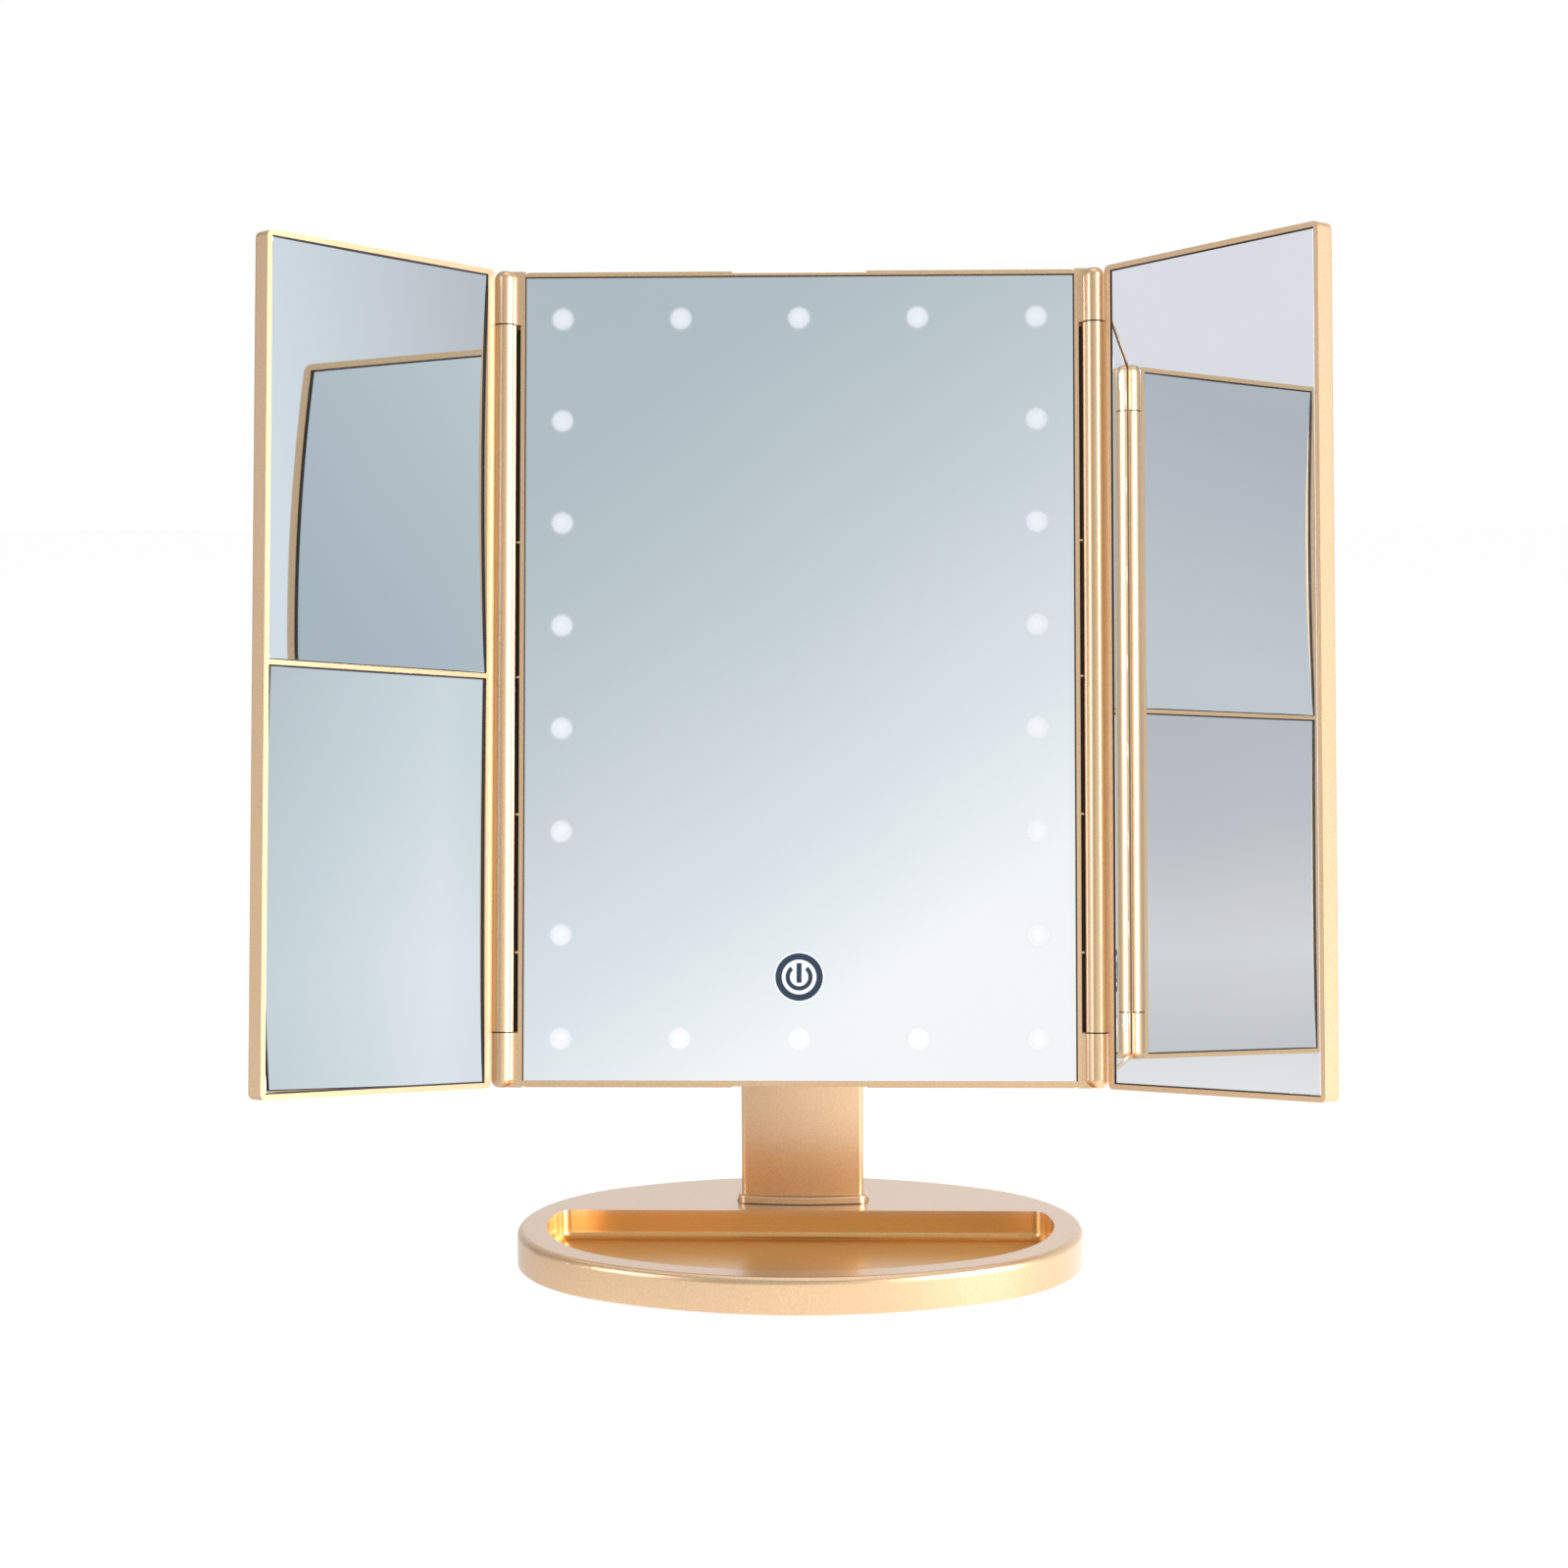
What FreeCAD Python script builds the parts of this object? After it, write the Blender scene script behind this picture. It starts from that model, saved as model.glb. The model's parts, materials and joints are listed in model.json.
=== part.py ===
import FreeCAD, Part
import Sketcher
import math
import os
import re

# Tri-fold lighted make-up mirror on an oval tray base, in millimetres.
# World frame: the origin is under the middle of the base, +X to the viewer's right,
# +Y towards the back and +Z up. The head is drawn upright in its own frame, with the
# rim of its face in the plane y = 0, and is then leaned back about the tilt axle.

Vec = FreeCAD.Vector
doc = FreeCAD.newDocument("led_makeup_mirror")
sheet = doc.addObject("Spreadsheet::Sheet", "sizes")

SIZES = [
    # oval base with its tray
    ("base_width", 160.0),
    ("base_depth", 116.0),
    ("base_end_share", 0.43),
    ("base_top", 10.3),
    ("base_edge_round", 2.0),
    ("base_wall", 2.2),
    ("tray_rim", 8.2),
    ("tray_rear", 15.3),
    ("tray_floor", 2.1),
    ("tray_corner", 4.0),
    ("tray_cove", 2.2),
    ("pad_proud", 0.4),
    ("pad_thick", 0.5),
    ("pad_inset", 5.0),
    ("plate_thick", 0.8),
    ("plate_inset", 1.8),
    ("ballast_thick", 5.0),
    ("ballast_gap", 1.0),
    # upright stem
    ("stem_width", 35.4),
    ("stem_thick", 10.4),
    ("stem_bulge", 2.0),
    ("stem_edge_round", 1.6),
    ("stem_front", 22.7),
    ("flange_step", 1.15),
    ("flange_high", 2.6),
    ("flange_round", 0.8),
    # head, measured from its centre and back from its rim plane
    ("axle_height", 162.7),
    ("axle_deep", 14.0),
    ("lean_angle", 8.65),
    ("head_width", 158.8),
    ("head_height", 232.0),
    ("head_deep", 20.0),
    ("head_corner", 2.6),
    ("head_back_round", 3.0),
    ("frame_deep", 7.0),
    ("frame_lip_side", 1.2),
    ("frame_lip_end", 1.5),
    ("frame_step", 0.8),
    ("frame_step_deep", 1.5),
    ("frame_floor", 1.2),
    ("glass_sink", 0.5),
    ("glass_thick", 2.3),
    ("ledge_wide", 2.0),
    ("cover_wall", 1.6),
    ("guard_reach", 6.0),
    ("guard_thick", 2.0),
    ("channel_width", 38.3),
    ("channel_floor", 1.2),
    ("axle_dia", 4.0),
    ("axle_long", 46.0),
    ("axle_boss_dia", 10.0),
    ("axle_boss_high", 4.0),
    ("washer_share", 0.9),
    # lights behind the centre glass
    ("light_side_inset", 10.8),
    ("light_end_inset", 12.2),
    ("light_rows", 8),
    ("light_columns", 5),
    ("window_dia", 5.8),
    ("board_thick", 1.0),
    ("board_wide", 11.0),
    ("chip_wide", 2.8),
    ("chip_long", 3.5),
    ("chip_high", 0.8),
    ("film_thick", 0.4),
    ("touch_rise", 29.6),
    ("touch_dia", 16.0),
    ("touch_thick", 1.0),
    # side wings, measured out from their hinge axis
    ("hinge_clear", 1.1),
    ("hinge_ahead", 0.6),
    ("barrel_dia", 6.3),
    ("knuckle_long", 15.4),
    ("knuckle_gap", 0.4),
    ("knuckle_round", 2.4),
    ("hinge_pin_dia", 2.4),
    ("hinge_pin_long", 22.0),
    ("wing_inner", 3.7),
    ("wing_meet_gap", 0.7),
    ("wing_thick", 6.4),
    ("wing_corner", 1.6),
    ("wing_back_round", 1.4),
    ("wing_lip_inner", 2.3),
    ("wing_lip_outer", 1.55),
    ("wing_lip_end", 1.5),
    ("wing_web", 2.2),
    ("wing_cover_thick", 1.2),
    ("wing_glass_sink", 0.4),
    ("wing_glass_thick", 2.0),
    ("wing_ledge", 5.0),
    ("divider_wide", 1.3),
    ("curved_glass_thick", 1.0),
    ("upper_curve", 985.0),
    ("lower_curve", 660.0),
    ("left_fold_angle", 47.6),
    ("right_fold_angle", 48.7),
    # batteries and controls at the back of the head
    ("cell_dia", 10.5),
    ("cell_tip_dia", 3.8),
    ("cell_tip_long", 1.1),
    ("cell_count", 4),
    ("bay_rise", 64.0),
    ("bay_margin", 4.35),
    ("bay_wall", 1.2),
    ("bay_room", 0.3),
    ("contact_thick", 0.5),
    ("contact_room", 1.6),
    ("contact_share", 0.8),
    ("door_ledge", 1.2),
    ("door_thick", 1.4),
    ("door_grip_wide", 14.0),
    ("door_grip_high", 1.0),
    ("switch_rise", 54.0),
    ("switch_body_wide", 8.6),
    ("switch_body_high", 14.0),
    ("switch_body_deep", 4.6),
    ("switch_slot_wide", 4.4),
    ("switch_slot_high", 9.0),
    ("knob_wide", 3.4),
    ("knob_high", 4.0),
    ("knob_proud", 1.4),
    ("knob_throw", 4.0),
    ("socket_wide", 7.6),
    ("socket_high", 2.7),
    ("socket_long", 5.6),
    ("socket_mouth_share", 0.8),
    ("board_margin", 11.5),
    ("control_board_high", 26.0),
    ("standoff_dia", 5.0),
    ("standoff_high", 1.6),
    # screws
    ("screw_dia", 2.6),
    ("screw_head_dia", 4.8),
    ("screw_head_high", 1.6),
    ("screw_sink", 2.4),
    ("post_dia", 6.6),
    ("boss_high", 4.0),
    ("rear_side_share", 0.24),
    ("rear_back_share", 0.32),
    ("rim_screw_share", 0.66),
    ("rim_screw_angle", 44.0),
    ("post_end_share", 0.42),
    ("base_screw_long", 7.0),
    ("stem_screw_long", 12.0),
    ("stem_screw_spread", 20.0),
    # fits
    ("seat_gap", 0.1),
    ("turn_gap", 0.05),
    ("screw_gap", 0.05),
    ("washer_gap", 0.15),
    ("overrun", 4.0),
]

for row, (alias, value) in enumerate(SIZES, start=1):
    sheet.set(f"A{row}", alias)
    sheet.set(f"B{row}", str(value))
    sheet.setAlias(f"B{row}", alias)
doc.recompute()

ALIASES = {alias for alias, value in SIZES}

# Places and sizes worked out from the driving ones
HINGE = "(head_width/2 + hinge_clear + barrel_dia/2)"
WING_OUTER = f"({HINGE} - wing_meet_gap)"
LOBE_MIDDLE = "(channel_width/4 + head_width/4)"
LOBE_WIDE = "(head_width/2 - channel_width/2 - 2*cover_wall)"
GLASS_HALF_WIDE = "(head_width/2 - frame_lip_side)"
GLASS_HALF_HIGH = "(head_height/2 - frame_lip_end)"
GLASS_BACK = "(glass_sink + glass_thick)"
FLOOR_FRONT = "(frame_deep - frame_floor)"
TOUCH_UP = f"(touch_rise - {GLASS_HALF_HIGH})"
BAY_UP = "(bay_rise - head_height/2)"
BAY_WIDE = f"({LOBE_WIDE} - 2*bay_margin)"
BAY_HIGH = "(cell_count*(cell_dia + bay_room) + bay_room)"
CELL_LONG = f"({BAY_WIDE} - cell_tip_long - 2*contact_room - 2*bay_room)"
DOOR_WIDE = f"({BAY_WIDE} + 2*door_ledge)"
DOOR_HIGH = f"({BAY_HIGH} + 2*door_ledge)"
SWITCH_UP = "(switch_rise - head_height/2)"
KNOB_UP = f"({SWITCH_UP} + knob_throw/2)"
BOARD_FRONT = "(frame_deep + standoff_high)"
BOARD_BACK = f"({BOARD_FRONT} + board_thick)"
BOARD_WIDE = f"({LOBE_WIDE} - 2*board_margin)"


def link(formula):
    # names in a formula become references to the sheet
    return re.sub(r"[a-z_]+", lambda hit: "sizes." + hit[0] if hit[0] in ALIASES else hit[0], formula)


def num(formula):
    return float(sheet.evalExpression(link(formula)))


def count(alias):
    return int(round(sheet.get(alias)))


def opposite(span):
    low, high = span
    return (f"-({high})", f"-({low})")


def middle_span(width, centre="0"):
    return (f"({centre}) - ({width})/2", f"({centre}) + ({width})/2")


# Primitives and booleans

def box(name, x, y, z):
    solid = doc.addObject("Part::Box", name)
    for prop, axis, (low, high) in (("Length", "x", x), ("Width", "y", y), ("Height", "z", z)):
        solid.setExpression(prop, link(f"({high}) - ({low})"))
        solid.setExpression(f"Placement.Base.{axis}", link(low))
    return solid


AXES = {
    "x": FreeCAD.Rotation(Vec(0, 0, 1), Vec(1, 0, 0)),
    "y": FreeCAD.Rotation(Vec(0, 0, 1), Vec(0, 1, 0)),
    "z": FreeCAD.Rotation(),
}


def rod(name, axis, diameter, span, across):
    # a cylinder along an axis: span along it, across gives the other two places in order
    solid = doc.addObject("Part::Cylinder", name)
    solid.Placement = FreeCAD.Placement(Vec(), AXES[axis])
    solid.setExpression("Radius", link(f"({diameter})/2"))
    solid.setExpression("Height", link(f"({span[1]}) - ({span[0]})"))
    others = [letter for letter in "xyz" if letter != axis]
    solid.setExpression(f"Placement.Base.{axis}", link(span[0]))
    for letter, place in zip(others, across):
        solid.setExpression(f"Placement.Base.{letter}", link(place))
    return solid


END_ROUND = "(base_depth*base_end_share)"
END_OUT = f"(base_width/2 - {END_ROUND})"
# radius of the long sides that run on smoothly into the ends
SIDE_ROUND = f"(({END_OUT}^2 + base_depth^2/4 - {END_ROUND}^2)/(base_depth - 2*{END_ROUND}))"
SIDE_OUT = f"({SIDE_ROUND} - base_depth/2)"


def oval(name, inset, low, high):
    # an upright oval disc of four tangent arcs, set in from the base's outline
    outline = doc.addObject("Sketcher::SketchObject", name + "_outline")
    outline.setExpression("Placement.Base.z", link(low))
    slope = math.atan2(num(SIDE_OUT), num(END_OUT))
    arcs = [((END_OUT, "0"), END_ROUND, -slope, slope),
            (("0", f"-{SIDE_OUT}"), SIDE_ROUND, slope, math.pi - slope),
            ((f"-{END_OUT}", "0"), END_ROUND, math.pi - slope, math.pi + slope),
            (("0", SIDE_OUT), SIDE_ROUND, math.pi + slope, 2 * math.pi - slope)]
    for (across, along_y), radius, start, stop in arcs:
        size = f"{radius} - ({inset})"
        circle = Part.Circle(Vec(num(across), num(along_y), 0), Vec(0, 0, 1), num(size))
        element = outline.addGeometry(Part.ArcOfCircle(circle, start, stop))
        index = outline.addConstraint(Sketcher.Constraint("Radius", element, num(size)))
        outline.setExpression(f"Constraints[{index}]", link(size))
        if radius == END_ROUND:
            pin_down(outline, element, 3, "DistanceX", across)
            pin_down(outline, element, 3, "DistanceY", along_y)
    for element in range(4):
        outline.addConstraint(Sketcher.Constraint("Tangent", element, 2, (element + 1) % 4, 1))
    return rise(name, outline, f"({high}) - ({low})")


def rise(name, outline, height):
    solid = doc.addObject("Part::Extrusion", name)
    solid.Base = outline
    solid.DirMode = "Custom"
    solid.Dir = Vec(0, 0, 1)
    solid.Solid = True
    solid.setExpression("LengthFwd", link(height))
    return solid


def join(name, solids):
    whole = doc.addObject("Part::MultiFuse", name)
    whole.Shapes = solids
    return whole


def cut(name, solid, tools):
    result = doc.addObject("Part::Cut", name)
    result.Base = solid
    result.Tool = tools[0] if len(tools) == 1 else join(name + "_tools", tools)
    return result


def overlap(name, first, second):
    result = doc.addObject("Part::Common", name)
    result.Base = first
    result.Tool = second
    return result


def group(name, solids):
    whole = doc.addObject("Part::Compound", name)
    whole.Links = solids
    return whole


def soften(name, solid, radius, wanted):
    # round the edges of a solid that the test picks out
    doc.recompute()
    size = num(radius)
    rounded = doc.addObject("Part::Fillet", name)
    rounded.Base = solid
    edges = enumerate(solid.Shape.Edges, start=1)
    rounded.Edges = [(index, size, size) for index, edge in edges if wanted(edge)]
    return rounded


# Bodies with sketches and features

def new_body(name):
    return doc.addObject("PartDesign::Body", name)


def new_sketch(body, plane, offset="0"):
    sketch = body.newObject("Sketcher::SketchObject", body.Name + "_sketch")
    base = next(feature for feature in body.Origin.OriginFeatures if feature.Role == plane)
    sketch.AttachmentSupport = (base, [""])
    sketch.MapMode = "FlatFace"
    if offset != "0":
        sketch.setExpression("AttachmentOffset.Base.z", link(offset))
    return sketch


def pin_down(sketch, element, point, along, formula):
    # hold one point of the sketch at a signed distance from the origin
    value = num(formula)
    if abs(value) < 1e-9:
        axis = -2 if along == "DistanceX" else -1
        sketch.addConstraint(Sketcher.Constraint("PointOnObject", element, point, axis))
        return
    if value > 0:
        limits = (-1, 1, element, point)
        text = formula
    else:
        limits = (element, point, -1, 1)
        text = f"-({formula})"
    index = sketch.addConstraint(Sketcher.Constraint(along, *limits, abs(value)))
    sketch.setExpression(f"Constraints[{index}]", link(text))


def draw_rect(sketch, x, y):
    corners = [(x[0], y[0]), (x[1], y[0]), (x[1], y[1]), (x[0], y[1])]
    points = [Vec(num(across), num(up), 0) for across, up in corners]
    first = sketch.GeometryCount
    for start in range(4):
        sketch.addGeometry(Part.LineSegment(points[start], points[(start + 1) % 4]))
    for side in range(4):
        after = first + (side + 1) % 4
        sketch.addConstraint(Sketcher.Constraint("Coincident", first + side, 2, after, 1))
        level = "Horizontal" if side % 2 == 0 else "Vertical"
        sketch.addConstraint(Sketcher.Constraint(level, first + side))
    for element, (across, up) in ((first, corners[0]), (first + 2, corners[2])):
        pin_down(sketch, element, 1, "DistanceX", across)
        pin_down(sketch, element, 1, "DistanceY", up)


def draw_circle(sketch, x, y, diameter):
    centre = Vec(num(x), num(y), 0)
    element = sketch.addGeometry(Part.Circle(centre, Vec(0, 0, 1), num(diameter) / 2))
    index = sketch.addConstraint(Sketcher.Constraint("Diameter", element, num(diameter)))
    sketch.setExpression(f"Constraints[{index}]", link(diameter))
    pin_down(sketch, element, 3, "DistanceX", x)
    pin_down(sketch, element, 3, "DistanceY", y)


def feature(body, kind, sketch, length, back=False, both=False):
    before = body.Shape.Volume if body.Tip and body.Tip != sketch else 0.0
    made = body.newObject("PartDesign::" + kind, body.Name + "_" + kind.lower())
    made.Profile = sketch
    made.setExpression("Length", link(length))
    made.Reversed = back
    if both:
        made.SideType = "Symmetric"
    doc.recompute()
    change = body.Shape.Volume - before
    if change * (1 if kind == "Pad" else -1) <= 0:
        raise RuntimeError(f"{made.Name} changed nothing")
    return made


def pad_back(body, low, high, draw):
    # material between two depths behind the face
    sketch = new_sketch(body, "XZ_Plane", f"-({low})")
    draw(sketch)
    return feature(body, "Pad", sketch, f"({high}) - ({low})", back=True)


def pocket_back(body, low, high, draw):
    sketch = new_sketch(body, "XZ_Plane", f"-({low})")
    draw(sketch)
    return feature(body, "Pocket", sketch, f"({high}) - ({low})")


def pad_up(body, low, high, draw):
    sketch = new_sketch(body, "XY_Plane", low)
    draw(sketch)
    return feature(body, "Pad", sketch, f"({high}) - ({low})")


def pocket_up(body, low, high, draw):
    sketch = new_sketch(body, "XY_Plane", low)
    draw(sketch)
    return feature(body, "Pocket", sketch, f"({high}) - ({low})", back=True)


def draw_round_end(sketch, radius, y, softness):
    # half profile of a turned peg, with the corner at the first end rounded
    first = sketch.GeometryCount
    draw_rect(sketch, ("0", radius), y)
    sketch.fillet(first, 2, num(softness))
    index = sketch.addConstraint(Sketcher.Constraint("Radius", sketch.GeometryCount - 1, num(softness)))
    sketch.setExpression(f"Constraints[{index}]", link(softness))


def turn_up(body, x, y, draw):
    # a turned piece about an upright axis
    sketch = new_sketch(body, "XZ_Plane", f"-({y})")
    sketch.setExpression("AttachmentOffset.Base.x", link(x))
    draw(sketch)
    made = body.newObject("PartDesign::Revolution", body.Name + "_turned")
    made.Profile = sketch
    made.ReferenceAxis = (sketch, ["V_Axis"])
    doc.recompute()
    return made


def round_edges(body, radius, wanted):
    tip = body.Tip
    edges = enumerate(tip.Shape.Edges, start=1)
    names = [f"Edge{index}" for index, edge in edges if wanted(edge)]
    made = body.newObject("PartDesign::Fillet", body.Name + "_fillet")
    made.Base = (tip, names)
    made.setExpression("Radius", link(radius))
    doc.recompute()
    return made


def near(value, formula):
    return abs(value - num(formula)) < 1e-4


def along(edge, axis):
    direction = edge.Vertexes[-1].Point - edge.Vertexes[0].Point
    length = direction.Length
    return length > 1e-6 and abs(abs(getattr(direction, axis)) - length) < 1e-6


def at(edge, axis, formula):
    box_ = edge.BoundBox
    low = getattr(box_, axis.upper() + "Min")
    high = getattr(box_, axis.upper() + "Max")
    return near(low, formula) and near(high, formula)


# Where the moving pieces stand

parts = {}


def keep(name, shape, place=None):
    # a bare primitive already has a placement bound to the sheet, so it goes in a group
    if place is not None and shape.TypeId in ("Part::Box", "Part::Cylinder"):
        shape = group(name + "_piece", [shape])
    shape.Label = name
    if place is not None:
        shape.Placement = place
    parts[name] = shape


axle_point = Vec(0, num("stem_front + stem_thick/2"), num("axle_height"))
lean_turn = FreeCAD.Rotation(Vec(1, 0, 0), -num("lean_angle"))
head_place = FreeCAD.Placement(
    axle_point - lean_turn.multVec(Vec(0, num("axle_deep"), 0)), lean_turn)


def wing_place(side):
    turn = num("right_fold_angle") * -1 if side > 0 else num("left_fold_angle")
    spot = Vec(side * num(HINGE), -num("hinge_ahead"), 0)
    return head_place.multiply(FreeCAD.Placement(spot, FreeCAD.Rotation(Vec(0, 0, 1), turn)))


# Base

def make_base():
    block = oval("base_block", "0", "pad_proud", "base_top")
    rounded = soften("base_rounded", block, "base_edge_round",
                     lambda edge: at(edge, "z", "base_top"))
    tray_oval = oval("tray_oval", "tray_rim", "tray_floor", "base_top + overrun")
    tray_front = box("tray_front", middle_span("base_width"), ("-base_depth", "tray_rear"),
                     ("tray_floor", "base_top + overrun"))
    tray = overlap("tray", tray_oval, tray_front)
    tray_ends = soften("tray_ends", tray, "tray_corner", lambda edge: along(edge, "z"))
    tray_coved = soften("tray_coved", tray_ends, "tray_cove",
                        lambda edge: at(edge, "z", "tray_floor"))
    recess = oval("plate_recess", "plate_inset - seat_gap", "0", "pad_thick + plate_thick")
    hollow_oval = oval("hollow_oval", "base_wall + plate_inset", "pad_thick", "base_top - base_wall")
    hollow_rear = box("hollow_rear", middle_span("base_width"),
                      ("tray_rear + base_wall", "base_depth"),
                      ("pad_thick", "base_top - base_wall"))
    hollow = overlap("hollow", hollow_oval, hollow_rear)
    stem_bosses = [rod(f"stem_boss_{side}", "z", "post_dia",
                       ("base_top - base_wall - ballast_thick/2", "base_top - base_wall/2"),
                       (f"{sign}stem_screw_spread/2", "stem_front + stem_thick/2"))
                   for side, sign in (("left", "-"), ("right", ""))]
    stem_holes = [rod(f"stem_hole_{side}", "z", "screw_dia + 2*screw_gap", ("0", "base_top + overrun"),
                      (f"{sign}stem_screw_spread/2", "stem_front + stem_thick/2"))
                  for side, sign in (("left", "-"), ("right", ""))]
    plate_posts = [rod(f"plate_post_{side}", "z", "post_dia",
                       ("pad_thick + plate_thick", "base_top - base_wall/2"), place)
                   for side, place in REAR_SCREWS.items()]
    plate_holes = [rod(f"plate_hole_{side}", "z", "screw_dia + 2*screw_gap",
                       ("0", "pad_thick + base_screw_long + screw_gap"), place)
                   for side, place in {**REAR_SCREWS, **FRONT_SCREWS}.items()]
    body = cut("base_body", rounded, [tray_coved, recess, hollow])
    solid = join("base_posts", [body] + stem_bosses + plate_posts)
    keep("base_shell", cut("base_shell", solid, stem_holes + plate_holes))


REAR_SCREWS = {
    "rear_left": ("-base_width*rear_side_share", "base_depth*rear_back_share"),
    "rear_right": ("base_width*rear_side_share", "base_depth*rear_back_share"),
}
RIM_SIDE = "(base_width/2 - tray_rim*rim_screw_share)*cos(rim_screw_angle)"
RIM_FRONT = "(base_depth/2 - tray_rim*rim_screw_share)*sin(rim_screw_angle)"
FRONT_SCREWS = {
    "front_left": (f"-{RIM_SIDE}", f"-{RIM_FRONT}"),
    "front_right": (RIM_SIDE, f"-{RIM_FRONT}"),
}


def make_base_fittings():
    plate = oval("plate_oval", "plate_inset", "pad_thick", "pad_thick + plate_thick")
    places = {**REAR_SCREWS, **FRONT_SCREWS}
    holes = [rod(f"plate_seat_{side}", "z", "screw_head_dia + 2*screw_gap",
                 ("0", "pad_thick + plate_thick + overrun"), place) for side, place in places.items()]
    keep("base_bottom_plate", cut("base_bottom_plate", plate, holes))
    keep("base_pad", oval("base_pad", "pad_inset", "0", "pad_thick"))

    ballast_oval = oval("ballast_oval", "base_wall + plate_inset + ballast_gap",
                        "pad_thick + plate_thick", "pad_thick + plate_thick + ballast_thick")
    ballast_rear = box("ballast_rear", middle_span("base_width"),
                       ("tray_rear + base_wall + ballast_gap", "base_depth"),
                       ("0", "base_top"))
    ballast = overlap("ballast_crescent", ballast_oval, ballast_rear)
    stem_window = box("ballast_window", middle_span("stem_screw_spread + post_dia + 2*ballast_gap"),
                      middle_span("post_dia + 2*ballast_gap", "stem_front + stem_thick/2"),
                      ("0", "base_top"))
    post_windows = [rod(f"ballast_hole_{side}", "z", "post_dia + 2*ballast_gap", ("0", "base_top"), place)
                    for side, place in REAR_SCREWS.items()]
    keep("base_ballast", cut("base_ballast", ballast, [stem_window] + post_windows))

    screws = []
    for side, place in places.items():
        head = rod(f"base_head_{side}", "z", "screw_head_dia",
                   ("pad_thick", "pad_thick + plate_thick"), place)
        shank = rod(f"base_shank_{side}", "z", "screw_dia",
                    ("pad_thick + plate_thick/2", "pad_thick + base_screw_long"), place)
        screws.append(join(f"base_screw_{side}", [head, shank]))
    keep("base_screws", group("base_screws", screws))


# Stem

def stem_section(name, grow, height):
    # lens-like outline: flat narrow sides joined by a bowed front and a bowed back
    side = f"(stem_width/2 + {grow})"
    front = f"(stem_front - {grow})"
    back = f"(stem_front + stem_thick + {grow})"
    corners = [(f"-{side}", f"{front} + stem_bulge"), (side, f"{front} + stem_bulge"),
               (side, f"{back} - stem_bulge"), (f"-{side}", f"{back} - stem_bulge")]
    points = [Vec(num(across), num(depth), 0) for across, depth in corners]
    outline = doc.addObject("Sketcher::SketchObject", name)
    outline.setExpression("Placement.Base.z", link(height))
    outline.addGeometry(Part.Arc(points[0], Vec(0, num(front), 0), points[1]))
    outline.addGeometry(Part.LineSegment(points[1], points[2]))
    outline.addGeometry(Part.Arc(points[2], Vec(0, num(back), 0), points[3]))
    outline.addGeometry(Part.LineSegment(points[3], points[0]))
    for element in range(4):
        outline.addConstraint(Sketcher.Constraint("Coincident", element, 2, (element + 1) % 4, 1))
    for element, point, corner in ((1, 1, 1), (1, 2, 2), (3, 1, 3), (3, 2, 0)):
        pin_down(outline, element, point, "DistanceX", corners[corner][0])
        pin_down(outline, element, point, "DistanceY", corners[corner][1])
    bow = f"({side}^2 + stem_bulge^2)/(2*stem_bulge)"
    for element in (0, 2):
        index = outline.addConstraint(Sketcher.Constraint("Radius", element, num(bow)))
        outline.setExpression(f"Constraints[{index}]", link(bow))
    return outline


def make_stem():
    column_section = stem_section("stem_outline", "0", "base_top")
    column = rise("stem_column", column_section, "axle_height - base_top + stem_thick")
    softened = soften("stem_softened", column, "stem_edge_round", lambda edge: along(edge, "z"))
    below = box("stem_below", middle_span("stem_width + overrun"),
                ("stem_front - overrun", "stem_front + stem_thick + overrun"),
                ("base_top", "axle_height"))
    crown = rod("stem_crown", "x", "stem_thick", middle_span("stem_width + overrun"),
                ("stem_front + stem_thick/2", "axle_height"))
    shaft = overlap("stem_shaft", softened, join("stem_limits", [below, crown]))
    foot_section = stem_section("flange_outline", "flange_step", "base_top")
    foot = rise("flange_block", foot_section, "flange_high")
    foot_corners = soften("flange_corners", foot, "stem_edge_round + flange_step",
                          lambda edge: along(edge, "z"))
    foot_round = soften("flange_rounded", foot_corners, "flange_round",
                        lambda edge: at(edge, "z", "base_top + flange_high"))
    bore = rod("stem_bore", "x", "axle_dia + 2*turn_gap", middle_span("stem_width + overrun"),
               ("stem_front + stem_thick/2", "axle_height"))
    holes = [rod(f"stem_pilot_{sign}", "z", "screw_dia + 2*screw_gap",
                 ("0", "base_top - base_wall + stem_screw_long + screw_gap"),
                 (f"{text}stem_screw_spread/2", "stem_front + stem_thick/2"))
             for sign, text in (("left", "-"), ("right", ""))]
    keep("stem", cut("stem", join("stem_whole", [shaft, foot_round]), [bore] + holes))

    screws = []
    for sign, text in (("left", "-"), ("right", "")):
        place = (f"{text}stem_screw_spread/2", "stem_front + stem_thick/2")
        seat = "base_top - base_wall - ballast_thick/2"
        head = rod(f"stem_head_{sign}", "z", "screw_head_dia", (f"{seat} - screw_head_high", seat), place)
        shank = rod(f"stem_shank_{sign}", "z", "screw_dia",
                    (f"{seat} - screw_head_high/2", "base_top - base_wall + stem_screw_long"), place)
        screws.append(join(f"stem_screw_{sign}", [head, shank]))
    keep("stem_screws", group("stem_screws", screws))


# Head shells

HOUSING_SCREWS = [(f"{side}{across}", up)
                  for side in ("-", "")
                  for across, up in (("(head_width/2 - post_dia)", "head_height*post_end_share"),
                                     ("(head_width/2 - post_dia)", "-head_height*post_end_share"))]


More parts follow.
